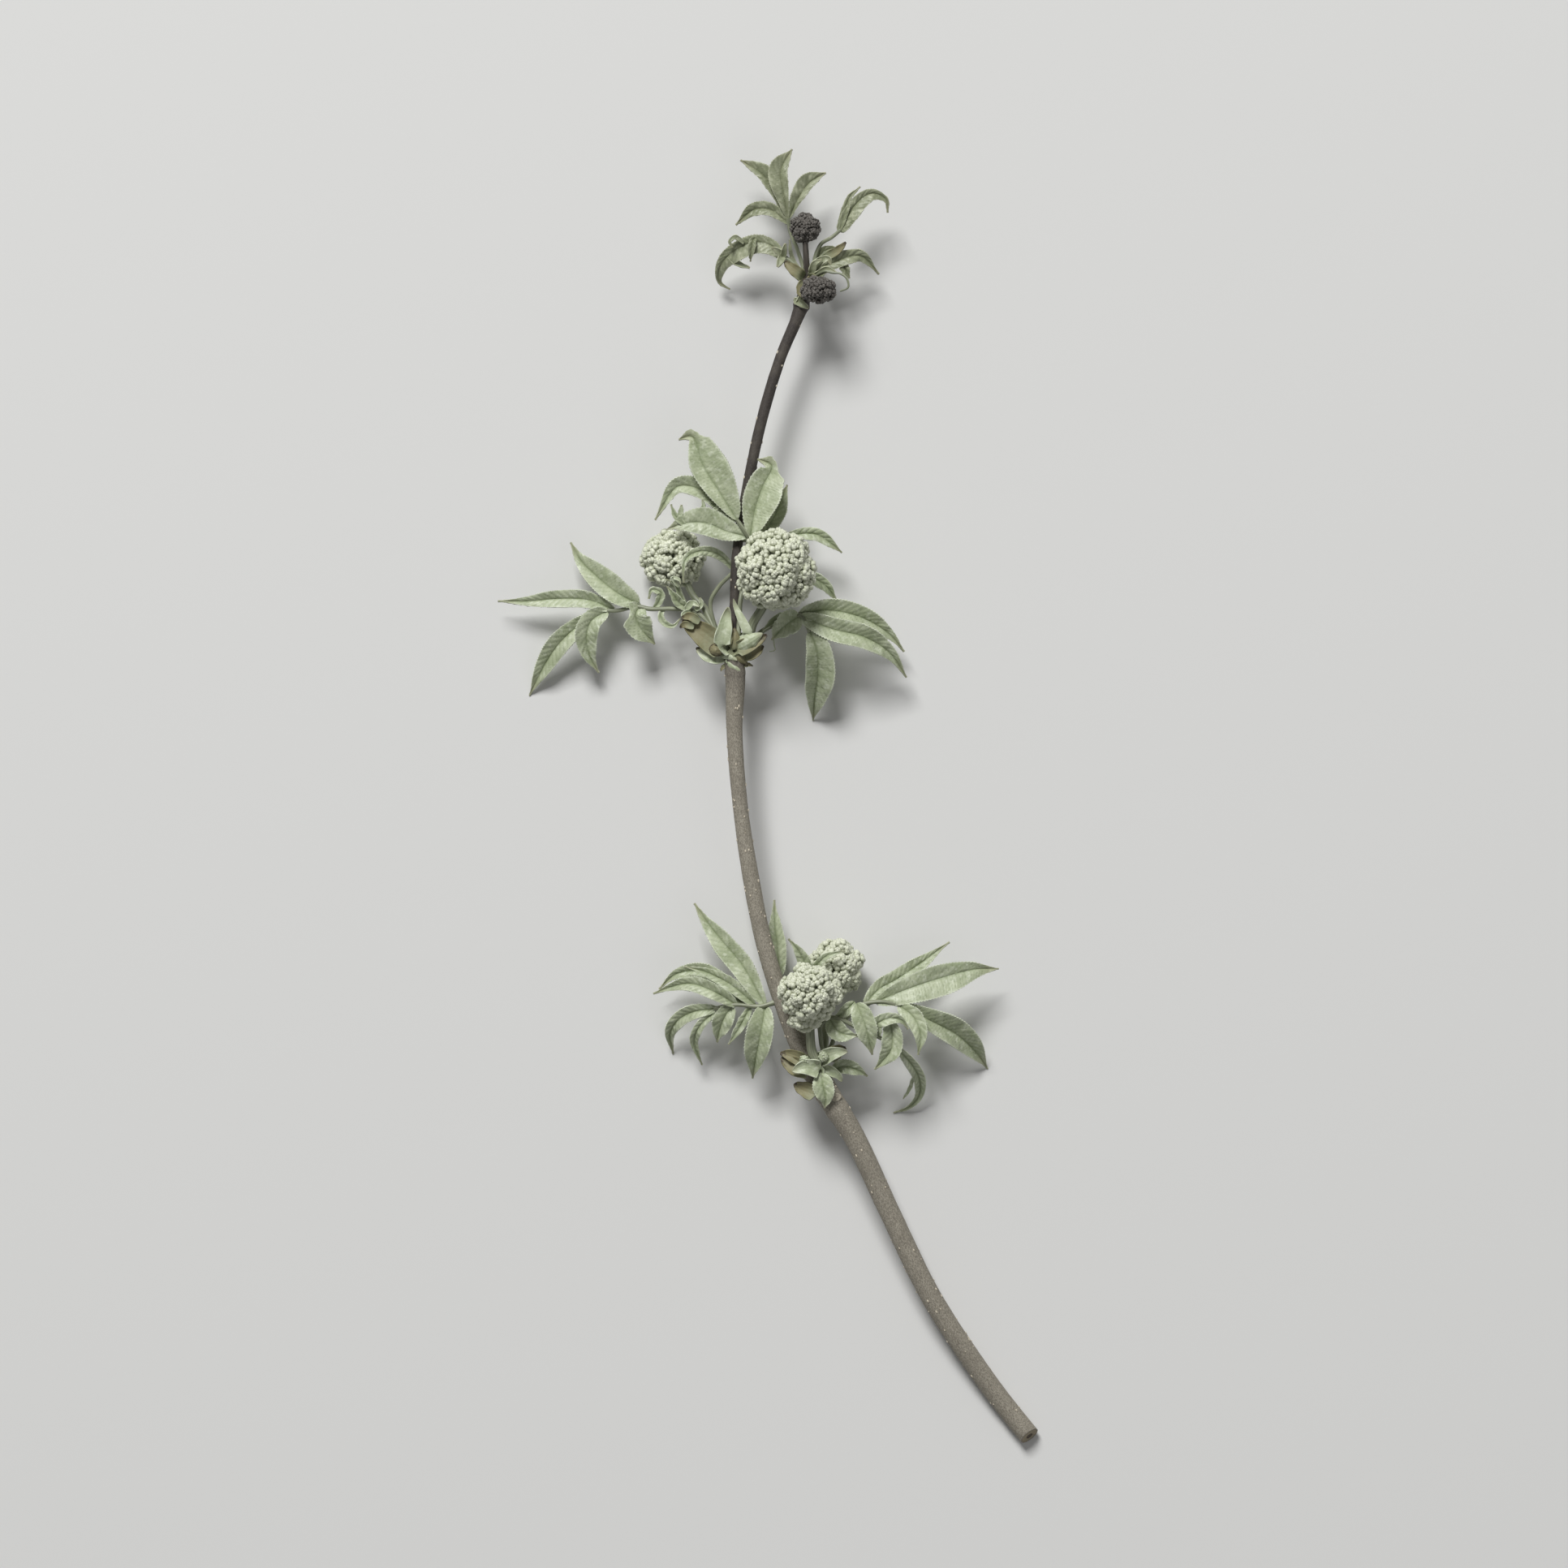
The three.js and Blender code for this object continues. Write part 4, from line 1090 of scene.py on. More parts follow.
@dataclass
class LooseBracts:
    """The small bracts, curled leaf tips and knobs that crowd round a node, in one piece."""

    name: str
    leafy: list[Blade]
    dry: list[Blade] = field(default_factory=list)
    threads: list[Stalk] = field(default_factory=list)
    knobs: list[tuple[Point, float]] = field(default_factory=list)

    def build(
        self, leaf: Material, scale: Material, stalk: Material
    ) -> Piece:
        """Builds the bracts.

        Args:
            leaf: the material of the leafy bracts and the knobs.
            scale: the material of the dry bracts.
            stalk: the material of the threads.

        Returns:
            The piece, which stands in no node's place.
        """
        parts = []
        for index, blade in enumerate([*self.leafy, *self.dry]):
            blade.edge = Edge.ENTIRE
            blade.seed = index
            parts.append(blade.build(leaf if blade in self.leafy else scale))
        parts += [thread.build(stalk) for thread in self.threads]
        parts += [self.knob(centre, radius, leaf) for centre, radius in self.knobs]
        whole = join(parts, self.name)
        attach(whole, "root")
        return whole

    @staticmethod
    def knob(centre: Point, radius: float, finish: Material) -> Piece:
        """Returns a crumpled knob: a leaf that is still rolled up in a ball."""
        ball, points = add_ball(finish, 4)
        folds = np.array([abs(noise.noise(Vector(p * 2.1 + np.array(centre)))) for p in points])
        write_points(ball, points * radius * (0.84 + 0.5 * folds)[:, None] + np.array(centre))
        plain = np.zeros(len(points))
        # Its rim mark makes the outermost folds pale: a painted highlight.
        write_attributes(ball, vein=plain, share=plain, rim=np.clip(folds * 3, 0, 1))
        return ball


# ---- Setting ------------------------------------------------------------------------------------


@dataclass(frozen=True)
class StudioFinish:
    """Plain matt paper of the studio floor."""

    name: str = "studio_paper"
    colour: str = "#dcdcda"

    def build(self) -> Material:
        """Returns the floor's material."""
        return Tree(self.name).close(self.colour, 0.95, [])


@dataclass
class Lamp:
    """A soft square lamp that looks at the middle of the branch."""

    name: str
    place: Point
    size: float
    power: float

    def build(self) -> Piece:
        """Adds the lamp; its place and size are in metres."""
        deselect_all()
        bpy.ops.object.light_add(type="AREA", location=self.place)
        lamp = bpy.context.object
        lamp.name = self.name
        lamp.data.shape = "SQUARE"
        lamp.data.size = self.size
        lamp.data.energy = self.power
        lamp.rotation_euler = (Vector((0, 0, 0.01)) - Vector(self.place)).to_track_quat("-Z", "Y").to_euler()
        return lamp


@dataclass
class Studio:
    """The plain studio: a pale floor, soft lamps, an even pale surround and the camera overhead."""

    lamps: list[Lamp]
    target_mm: tuple[float, float] = (3.2, 3.8)
    camera_height: float = 2.16
    lens: float = 200.0
    floor_size: float = 8.0
    surround: str = "#e8e8e8"
    surround_strength: float = 0.22

    def build(self) -> None:
        """Adds the floor, the lamps, the surround and the camera."""
        floor, _ = add_shape(bpy.ops.mesh.primitive_plane_add, StudioFinish().build(), size=self.floor_size)
        floor.name = "studio_floor"
        for lamp in self.lamps:
            lamp.build()
        world = bpy.data.worlds.new("studio")
        bpy.context.scene.world = world
        world.use_nodes = True
        surround = world.node_tree.nodes["Background"]
        surround.inputs["Color"].default_value = linear(self.surround)
        surround.inputs["Strength"].default_value = self.surround_strength
        bpy.context.scene.view_settings.view_transform = "Standard"
        deselect_all()
        x, y = self.target_mm
        bpy.ops.object.camera_add(location=(x * MM, y * MM, self.camera_height), rotation=(0, 0, 0))
        camera = bpy.context.object
        camera.name = "camera"
        camera.data.lens = self.lens
        camera.data.sensor_width = 36
        camera.data.clip_start = 0.05
        camera.data.clip_end = 20
        bpy.context.scene.camera = camera


# ---- The branch ---------------------------------------------------------------------------------

# The stem from its cut end to its tip: x, y, z of its centre line and the radius there.
STEM_ROWS = [
    (64.6, -158.4, 2.36, 2.6), (58.6, -151, 2.36, 2.6), (52.6, -143, 3.4, 2.6), (39.6, -123, 6.6, 2.6),
    (29.8, -103, 8.9, 2.6), (20.4, -83, 11, 2.7), (15.4, -75, 12, 3), (12.4, -70, 12.4, 3.1),
    (8.8, -64.2, 12.6, 2.7), (3.2, -51, 13.2, 2.2), (-1.8, -35, 13.6, 2.1), (-5, -19, 13.7, 2.1),
    (-7.4, -3, 13.8, 1.9), (-9, 17, 14, 2), (-8.8, 29, 14, 2.5), (-9, 34.6, 14, 2.6),
    (-9.1, 38.4, 14, 1.6), (-9, 49, 14, 1.2), (-8.4, 61, 14, 1.25), (-5.8, 77, 13.9, 1.35),
    (-2.4, 93, 13.6, 1.4), (2.4, 109, 13.2, 1.4), (6, 117.6, 12.9, 1.5), (7.6, 122, 12.7, 1.9),
    (8.4, 125.4, 12.6, 1.6), (8.8, 128, 12.5, 1.4),
]
# The rings at the nodes: the y where the stem has one, its height and its half width.
STEM_COLLARS = [
    (35.2, 0.3, 0.7), (31.0, 0.12, 0.6), (-66.4, 0.25, 0.8), (-76.5, 0.15, 0.9), (121.6, 0.3, 0.6)
]

# Bud heads: each one's node and slot, its balls of buds, with their centre and radii, and its stalk.
HEADS = [
    BudHead("bud_head_middle_right", "green_buds", [
        BudBall((1.2, 56.4, 22), (10.4, 10.6, 10.2)),
    ], Stalk([(-6, 38.6, 15.2), (-4.4, 43.4, 15.8), (-2, 47.4, 17.8), (0, 52, 20)], (1.15, 1.1))),
    BudHead("bud_head_middle_left", "green_buds", [
        BudBall((-24.2, 59.4, 8.03), (8.5, 7.9, 8.2)),
    ], Stalk([(-12.4, 37.8, 13.6), (-14, 42, 13), (-16.6, 47.4, 11.5), (-19, 50, 10.5), (-22.4, 57, 9)],
           (0.85, 0.85))),
    BudHead("bud_head_lower_front", "green_buds", [
        BudBall((9.6, -47.4, 22), (8.4, 7.6, 8)),
        BudBall((8.2, -54.6, 21.6), (4.6, 2.8, 3.2)),
    ], Stalk([(11.2, -64.6, 16.9), (10, -61.6, 17.6), (9.6, -55.4, 19.5), (9.6, -51, 21)], (1.2, 1.1))),
    BudHead("bud_head_lower_back", "green_buds", [
        BudBall((16, -41.8, 7.38), (7.8, 7.8, 7.6)),
    ], Stalk([(12.6, -64.2, 10.2), (13.6, -55, 9), (14.8, -48, 8)], (1, 1))),
    BudHead("bud_head_top", "dark_buds", [
        BudBall((8.4, 140.7, 14.5), (4, 4, 3.9)),
    ], Stalk([(8.7, 127.2, 12.5), (8.8, 129.4, 12.9), (8.6, 134, 14.2), (8.4, 137.4, 14.5)], (0.85, 0.7)),
       bud=0.85),
    BudHead("bud_mass_top", "dark_buds", [
        BudBall((11.6, 125.4, 18.2), (4.6, 3.8, 3.6)),
    ], Stalk([(9.4, 124.4, 15), (10.2, 124.8, 16), (11, 125.2, 17.4)], (0.9, 1)), bud=0.95),
]

# Bud scales: short blunt blades at the nodes, then the centre and radii of the small bud between them.
SCALES = [
    ScaleGroup("bud_scales_middle", [
        Blade([(-11.8, 37, 16), (-16.4, 40.4, 16), (-22, 44.6, 14.8)], 6, 20),
        Blade([(-12.4, 35.2, 14.6), (-15.2, 35.8, 14.6), (-18.6, 37.4, 13)], 3.2, 20),
        Blade([(-11.6, 37.4, 17.6), (-11.2, 42, 18.2), (-10.8, 46.6, 17)], 4, 20),
    ], ((-13.4, 36.8, 16.3), (1.9, 1.7, 2.1))),
    ScaleGroup("bud_scale_middle_right", [
        Blade([(-8.4, 36.8, 17.6), (-4.8, 38.4, 18.4), (-1, 40.4, 18.2)], 3.8, 24),
    ]),
    ScaleGroup("bud_scale_lower_left", [
        Blade([(9.6, -66.2, 16.4), (6.4, -65.8, 15.8), (2.4, -63.6, 14)], 4.8, 24),
    ]),
    ScaleGroup("bud_scale_lower_round", [
        Blade([(11.2, -72.4, 16), (8.4, -71.4, 15), (5.4, -70.2, 12.8)], 4, 24),
    ]),
    ScaleGroup("bud_scale_lower_right", [
        Blade([(13.8, -63.8, 17.2), (15.6, -62.4, 17.6), (18.4, -61, 17.2)], 3.6, 20),
    ]),
    ScaleGroup("bud_scale_top", [Blade([(7, 129.4, 15), (5.2, 130.8, 15.2), (3.2, 132.6, 14.6)], 2.8, 20)]),
]

# Small bracts, curled tips and knobs at the three nodes.
LOOSE_BRACTS = [
    LooseBracts(
        "loose_bracts_top",
        leafy=[
            Blade([(3.4, 133.6, 13.2), (2, 134.8, 14.6), (0.4, 135.8, 15.6)], 1.5, 25),
            Blade([(3, 133.4, 13.2), (3.2, 135, 14.8), (3.5, 136.6, 15.8)], 1.3, 25),
            Blade([(3, 134, 13.4), (2.4, 132.8, 15), (1.7, 131.2, 15.6)], 1.7, 25),
            Blade([(5.4, 133, 13), (4.8, 135.4, 14.6), (4.6, 137.6, 15.6)], 1.0, 15),
            Blade([(-6.6, 137.2, 12), (-8.8, 138.6, 13), (-10.1, 137.6, 13.2), (-9.6, 136, 12.8)], 1.0, 15),
            Blade([(-10.6, 134.2, 9.4), (-8.4, 132.4, 9.8), (-5.2, 131.2, 9.6)], 1.3, 20),
            Blade([(10.4, 130.4, 14), (12.2, 132.6, 15.6), (14, 133, 16), (14.8, 131.6, 15.8)], 2.2, 22),
            Blade([(10, 129.6, 14.4), (10.6, 131.8, 16), (12.4, 132.8, 16.8)], 1.6, 22),
            Blade([(11.4, 129, 15), (13.8, 130.4, 16.8), (16, 129.6, 17.2)], 1.8, 22),
            Blade([(5.9, 123.2, 13.6), (7, 122.4, 15.2), (8.2, 121.6, 15.5), (9.4, 120.9, 14.9)], 1.7, 24),
            Blade([(6.4, 121.4, 13.4), (7, 122.6, 14.8), (7.6, 124.6, 15.2)], 1.5, 24),
        ],
        dry=[
            Blade([(12.8, 133.4, 12.6), (16.2, 135.2, 13.6), (18.4, 137.2, 14.2)], 2.0, 20),
            Blade([(8.6, 127, 15.2), (7.4, 125.2, 17), (8.4, 123.4, 17.8)], 3.0, 20),
            Blade([(10.4, 128.4, 15.8), (9.2, 127.4, 18), (8, 127.6, 18.6)], 2.4, 20),
        ],
        threads=[
            Stalk([(13.4, 130, 16.4), (15, 129.6, 16.7), (17, 129.4, 17), (18.6, 128.2, 17.3),
                   (19, 126, 17.2), (17, 125, 16.8)], (0.32, 0.25)),
        ],
    ),
    LooseBracts(
        "loose_bracts_middle",
        leafy=[
            Blade([(-12, 35.2, 14.8), (-15.2, 35.4, 15.6), (-18.4, 36.8, 14.6)], 3.6, 18),
            Blade([(-8.4, 37.4, 17.8), (-5.2, 39, 19.6), (-2, 40.9, 19)], 4.4, -30),
            Blade([(-12, 37.6, 18.2), (-11.4, 42, 19), (-10.8, 45.6, 18.6), (-10.6, 47, 19.4)], 4.0, 20),
            Blade([(-5.6, 40.4, 18.8), (-7.2, 44.2, 19.2), (-8.7, 47.4, 18.4), (-9.2, 49.2, 18.9)],
                   2.4, -16),
            Blade([(-12.6, 36.8, 15.4), (-10.8, 35.8, 17.1), (-8.4, 34.2, 17.3)], 3.0, -38),
            Blade([(-10.7, 34.1, 16.2), (-9.1, 32.6, 16.95), (-7.5, 31.5, 16.5), (-6.3, 31.1, 15.2)],
                   1.5, -30),
            Blade([(-22.6, 52.2, 15.6), (-24.2, 54.6, 16.8), (-22.6, 54, 17.2), (-22.2, 53, 17)], 1.0, 10),
            Blade([(-21, 46.8, 13.4), (-19.4, 48.4, 14.2), (-17.8, 47.6, 14.6)], 1.5, 20),
            Blade([(-18.8, 46.6, 13.4), (-17.2, 48, 14.2), (-17.4, 49.6, 14.6)], 1.2, 20),
            Blade([(-19.6, 46.2, 13.2), (-21.4, 45.6, 14.2), (-21.6, 44.4, 14.8)], 1.4, 20),
            Blade([(-17.2, 70.8, 16.6), (-16.6, 72.4, 17), (-16.9, 73.6, 17.3)], 0.9, 15),
            Blade([(-14.4, 70.6, 16.8), (-13.4, 71.6, 17.4), (-12.4, 72.4, 17.4)], 0.9, 15),
            Blade([(-22.6, 69, 16.4), (-22.2, 70.8, 16.9), (-22, 72.4, 17.2)], 1.3, 15),
        ],
        dry=[
            Blade([(-17.6, 43.6, 16.9), (-19.8, 45, 17), (-22.2, 44.7, 15.8)], 2.0, 24),
            Blade([(-19, 42.4, 16.5), (-21.2, 43, 16.3), (-22.6, 42.2, 15.2)], 1.6, 24),
            Blade([(-6.8, 35.4, 16.2), (-4.2, 36, 17.2), (-1.8, 37.8, 17)], 2.8, 22),
            Blade([(-8.8, 36.4, 17.1), (-7.2, 34.6, 17.2), (-5.6, 32.8, 15.8)], 3.2, -40),
            Blade([(-9.2, 36.6, 17.6), (-8.8, 39.4, 18.6), (-9, 42.4, 18.2)], 3.0, -30),
            Blade([(-10.8, 33.2, 14.4), (-11.8, 32.6, 15), (-12.4, 31.6, 15)], 1.0, 10),
            Blade([(-6.6, 33, 15.4), (-5.4, 33.2, 15.6), (-4.4, 32.8, 15.4)], 1.0, 10),
        ],
        threads=[
            Stalk([(0.6, 40, 13.6), (0.8, 38, 14), (1, 36.8, 14.2), (-0.4, 36.4, 14.2)], (0.14, 0.12)),
        ],
    ),
    LooseBracts(
        "loose_bracts_lower",
        leafy=[
            Blade([(12.2, -66.6, 17), (8.6, -65.8, 18.4), (5.2, -66.8, 18)], 4.2, 24),
            Blade([(12.4, -63.8, 16.8), (15.4, -62.4, 18.2), (18.8, -62, 17.8)], 3.6, 24),
            Blade([(13.2, -66.4, 16), (16.2, -67.8, 15.4), (17.6, -69.6, 14.2)], 2.4, 20),
            Blade([(35.2, -68.6, 8.6), (34.2, -71.6, 7.4), (32.6, -74.2, 6)], 0.9, 10),
        ],
        dry=[Blade([(9.2, -65, 15.6), (5.4, -63.2, 15.8), (2.2, -62.4, 14.8)], 3.4, 24)],
        knobs=[((8.2, -64, 17.6), 1.2), ((12.9, -63.2, 18), 1.3)],
    ),
]

# Pinnate leaves: each one's stalks, with the radius at both ends, and its leaflets, with the full
# width, how far each half is folded up from flat in degrees, the share of the half width that the left
# and right side have, and where along the length it is broadest.
LEAVES = [
    CompoundLeaf("leaf_middle_upper", [
        Stalk([(-8.2, 40.4, 16.2), (-7.8, 44, 15.9), (-7.6, 48, 15.7), (-7, 52, 14.8), (-6.4, 57, 13.9),
               (-6, 61, 15.2), (-5.4, 64.2, 17.2)], (0.6, 0.6)),
        Stalk([(-5.4, 64.2, 17.2), (-8.4, 68.8, 17.3)], (0.6, 0.5)),
    ], [
        Blade([(-8.4, 68.8, 17.3), (-12.4, 75.2, 17.5), (-16.6, 82, 17), (-19.4, 89.2, 16.5),
               (-22.8, 88.6, 16)], 8.8, 28, (0.75, 1.3), 0.52),
        Blade([(-8.6, 68.6, 17), (-13, 73.4, 15.6), (-18, 76.6, 15), (-23, 77, 15), (-28.6, 68.8, 14.6)],
               4.4, 24, (1, 1.25)),
        Blade([(-5.8, 64.6, 17), (-11, 66, 16.6), (-16, 68, 16.4), (-21, 68, 16.3), (-25.8, 66.4, 16)],
               7.6, 13, (0.8, 1), 0.5),
        Blade([(-5, 64.8, 17.4), (-4, 71, 17.6), (-2, 77, 17.6), (0.2, 82, 17.4), (-3.4, 83.8, 17)],
               8, 26, (0.95, 1.3), 0.5),
        Blade([(-21.2, 67.4, 16.3), (-23.6, 70, 16.6), (-24.6, 72.6, 16.8)], 1.6, 15),
    ]),
    CompoundLeaf("leaf_middle_back", [
        Stalk([(-10.6, 37, 10.8), (-14, 43.4, 8), (-15, 48.6, 7.8), (-12.8, 52.6, 9), (-9.6, 55.8, 10),
               (-5.6, 60.2, 11), (-3, 63.6, 11.5)], (0.55, 0.55)),
        Stalk([(-3, 63.6, 11.5), (1, 61, 10.6), (7, 56, 11)], (0.5, 0.5)),
    ], [
        Blade([(-9, 56.6, 10.3), (-13, 60.4, 12.5), (-18, 61, 16), (-21, 59, 17.9), (-21.6, 56, 17.9),
               (-21.4, 53.2, 17.2)], 2.4, 15),
        Blade([(-3, 63.8, 11.6), (0.4, 69, 12), (2.6, 74, 12), (4, 77.6, 12)], 4.8, 20, peak=0.5),
        Blade([(-1, 62.2, 11.2), (3, 64.2, 11.6), (7, 65.4, 12), (11, 65.4, 12), (14.4, 63.4, 11.5),
               (17.6, 60.8, 10.5)], 3.2, 20, peak=0.6),
        Blade([(7, 56, 11), (10, 54.8, 11), (13.6, 52.6, 10), (16.4, 48.6, 8.2)], 3.2, 20),
    ]),
    CompoundLeaf("leaf_middle_left", [
        Stalk([(-11.6, 37.6, 13.4), (-15, 43, 13), (-18.4, 46.2, 12.2), (-24, 47, 12), (-30, 47, 11),
               (-33, 47.6, 10.4), (-38, 46.6, 9.4), (-40.4, 46.6, 8.9)], (0.6, 0.5)),
    ], [
        Blade([(-32.6, 48, 10.6), (-38, 51, 10), (-43, 55, 9), (-47, 59, 8), (-49.6, 63.6, 7)],
               6, 26, (1, 1.15)),
        Blade([(-38.8, 46.8, 9.2), (-45, 49.2, 8.8), (-52, 49.6, 7.6), (-60, 49, 6.5), (-67.6, 49, 6)],
               4.4, 24),
        Blade([(-40, 46.4, 8.8), (-47.6, 42.8, 7.4), (-52, 39, 6.2), (-55.6, 34, 4.2), (-60, 25.6, 0.62)],
               5.4, 24, peak=0.5),
        Blade([(-40.4, 46.6, 9.2), (-44.4, 44, 9.6), (-45.6, 40, 8.6), (-44.8, 35.4, 7),
               (-42.6, 31.2, 5.5)], 5.6, 24),
        Blade([(-32, 48, 10.8), (-33.4, 45.6, 11.4), (-32.4, 42.6, 10.8), (-28.6, 38.2, 9)], 6.8, 24),
        Blade([(-20, 47, 12.4), (-22.6, 48.4, 13.4), (-24.2, 50.6, 14.6), (-25.6, 52.4, 15)], 2.4, 20),
        Blade([(-21, 47.2, 12.4), (-22.6, 51, 14.4), (-23.6, 53, 15.6), (-25.4, 54, 16.6)], 1.4, 15),
        Blade([(-29, 47, 11.4), (-27.6, 48.8, 12), (-27.2, 51, 12.6), (-29.4, 51.6, 12.8),
               (-30.2, 49.4, 12.6)], 2, 20),
        Blade([(-26, 47.4, 11.6), (-27.2, 45.6, 12), (-26.2, 43.4, 12.2), (-24, 42.8, 12),
               (-22.4, 44.6, 12)], 1.6, 15),
    ]),
    CompoundLeaf("leaf_middle_right", [
        Stalk([(-6, 38.2, 12.2), (-2, 41.6, 11.8), (3, 44, 12.5), (7.4, 45.6, 13.5)], (0.6, 0.6)),
        Stalk([(7, 45.6, 13.4), (8.6, 43.6, 13.6), (9.6, 41.2, 13.9)], (0.6, 0.55)),
    ], [
        Blade([(6.8, 45.6, 13.4), (14, 46.6, 12.2), (22, 45, 10.5), (29, 41, 8), (33, 36.4, 6)], 6, 26),
        Blade([(7.2, 45.2, 13.7), (15, 42, 14.6), (23, 40, 13.5), (29, 36.4, 11), (33.6, 30, 7.5)], 6, 26),
        Blade([(9.6, 41.4, 14), (11.2, 37, 13.6), (11.6, 31, 10.5), (10.8, 25, 6), (10.4, 19.2, 0.5)],
               7.6, 26, (1.1, 0.8)),
        Blade([(7.2, 45.4, 13.6), (3, 42.4, 16), (0, 39.2, 14.5)], 6, 20),
        Blade([(6, 45.6, 14), (1.4, 44.4, 14.2), (-2.2, 41.6, 13.6)], 2.2, 15),
    ]),
    CompoundLeaf("leaf_lower_left", [
        Stalk([(-0.2, -50.4, 13.6), (-3, -51, 13.6), (-9, -50.6, 13), (-14, -51.6, 12.4)], (0.6, 0.5)),
    ], [
        Blade([(-1.6, -50.6, 13.6), (-7, -41, 12.6), (-12, -35, 11.5), (-16, -30, 10.5), (-19, -25.6, 9.5)],
               6.4, 28, (1, 0.8), 0.45),
        Blade([(-6.4, -50.6, 12.8), (-16, -43, 10), (-23, -43, 8.4), (-27.8, -47, 6.8)], 4.8, 24),
        Blade([(-4, -50.6, 13.5), (-10, -45.6, 13.8), (-16, -42.6, 13.2), (-21.4, -41.2, 12.5)], 3.4, 24),
        Blade([(-8.4, -50.8, 13.2), (-14, -47.4, 14.6), (-20, -45.4, 13.6), (-25, -46.4, 12),
               (-29.2, -48, 10.5)], 4, 22),
        Blade([(-13.2, -51.6, 12.4), (-19, -52.4, 10.5), (-23, -54.6, 8), (-25, -58, 5),
               (-24.2, -63.4, 0.53)], 3.8, 24),
        Blade([(-13.6, -51.8, 12.3), (-18, -56.6, 10.5), (-19, -60, 8), (-17, -66, 4)], 2.4, 20),
        Blade([(-9.6, -50.8, 12.8), (-11.6, -54, 12.2), (-12.8, -57.4, 10.5), (-13.4, -60.2, 9)], 5, 24),
        Blade([(-5, -51, 13.4), (-8, -56.6, 12.6), (-10.6, -60.6, 11)], 2.4, 18),
        Blade([(-1.4, -50.8, 13.6), (-2.4, -57, 14.2), (-3.6, -63, 12), (-4.6, -69.2, 8)],
               7.2, 26, (0.85, 1)),
    ]),
    CompoundLeaf("leaf_lower_behind", [
        Stalk([(7.2, -61.4, 9.2), (4.4, -54, 8), (2.6, -47.4, 8), (2, -43.6, 8)], (0.5, 0.5)),
    ], [
        Blade([(2, -44, 8), (1.6, -37, 8.4), (1, -31, 8.6), (0.8, -24.8, 8.4)], 4.4, 20),
    ]),
    CompoundLeaf("leaf_lower_between", [
        Stalk([(12.4, -63.4, 13.5), (12, -57, 13.2), (10.4, -50, 12.8), (9.2, -44, 13)], (0.5, 0.5)),
    ], [
        Blade([(9.2, -44.4, 13), (8.2, -40.2, 14.2), (6.8, -37.4, 15.2), (4.4, -34.4, 16)], 3.2, 20),
        Blade([(9.4, -44.6, 13), (11.2, -41, 15.4), (13.6, -38.6, 16.8), (16, -37.8, 17),
               (18.4, -37.2, 16.4)], 2, 15),
    ]),
    CompoundLeaf("leaf_lower_right", [
        Stalk([(13.4, -63.8, 12.2), (16, -58, 12.6), (18.4, -54.2, 13), (22, -50.8, 13.6), (27, -49.8, 14),
               (31.6, -50.6, 14.2)], (0.6, 0.5)),
    ], [
        Blade([(23.2, -50.6, 13.6), (26.4, -47, 12.4), (31, -44.4, 11), (37, -40.4, 9), (44.2, -35.2, 7)],
               4.8, 16),
        Blade([(25.6, -50, 14), (34, -46.6, 14.4), (42, -44, 13), (50, -42, 11), (56.4, -41.8, 9)],
               6.8, 15, (1, 1.3), 0.48),
        Blade([(31.6, -50.8, 14.4), (39, -54.4, 12.5), (46, -58.2, 8.5), (51, -63, 4), (53.8, -67, 0.56)],
               6, 26, (1.25, 1), 0.5),
        Blade([(31.4, -50.6, 14.4), (35.2, -53.8, 16.4), (36.8, -58, 17), (36.2, -63, 16)], 4.4, 22),
    ]),
    CompoundLeaf("leaf_lower_front", [
        Stalk([(12.8, -64.2, 14.8), (12.2, -59, 16), (12.2, -55.6, 16.2), (15, -53.6, 18),
               (18, -54.4, 18.9), (22, -56.6, 18.7), (25.2, -57.9, 18.5), (27.2, -58.8, 18),
               (29.4, -60.2, 16.75), (31.4, -61.4, 16.7)], (0.5, 0.5)),
    ], [
        Blade([(14.4, -54, 17.8), (16.8, -57.2, 19.2), (21.4, -58.2, 19.8)], 4.8, 20),
        Blade([(21, -50, 19.5), (22.4, -53.4, 20.3), (23.6, -57, 20), (25, -63, 17.5)], 5.6, 24),
        Blade([(20.6, -49.8, 18.6), (17.6, -52.6, 18.8), (15.2, -54, 18)], 2.8, 20),
        Blade([(26.4, -58.4, 19.2), (26, -55.4, 20), (29, -53.8, 20.6), (32, -54.2, 20.4),
               (33.8, -56.6, 19.6)], 3.2, 20),
        Blade([(29.2, -54.4, 19.6), (29.8, -58, 18.4), (29.6, -61.4, 17.8), (28, -63.8, 16.8),
               (25.4, -66.6, 15.5)], 5.2, 24),
        Blade([(31, -61.2, 17.2), (34.4, -65, 13), (36.6, -69, 8.5), (36.6, -73.4, 4), (34, -76.4, 1.6),
               (30.2, -77.8, 0.63)], 3, 20),
    ]),
    CompoundLeaf("leaf_lower_side", [
        Stalk([(13.2, -66.2, 13.2), (15.2, -67.1, 13.5)], (0.7, 0.45)),
    ], [
        Blade([(14.8, -67.2, 13.4), (17.6, -65.8, 13.6), (21, -66.6, 12.8), (24, -68.4, 11)], 3.6, 22),
    ]),
    CompoundLeaf("leaf_lower_face", [
        Stalk([(11.4, -66.4, 15.2), (12.5, -68.4, 16.3)], (0.6, 0.3)),
    ], [
        Blade([(12.2, -67.4, 16.6), (12.8, -70.4, 17.2), (13.4, -73.4, 16.8), (13.2, -76.2, 15.6)],
               5.2, 20),
    ]),
    CompoundLeaf("leaf_top_upper", [
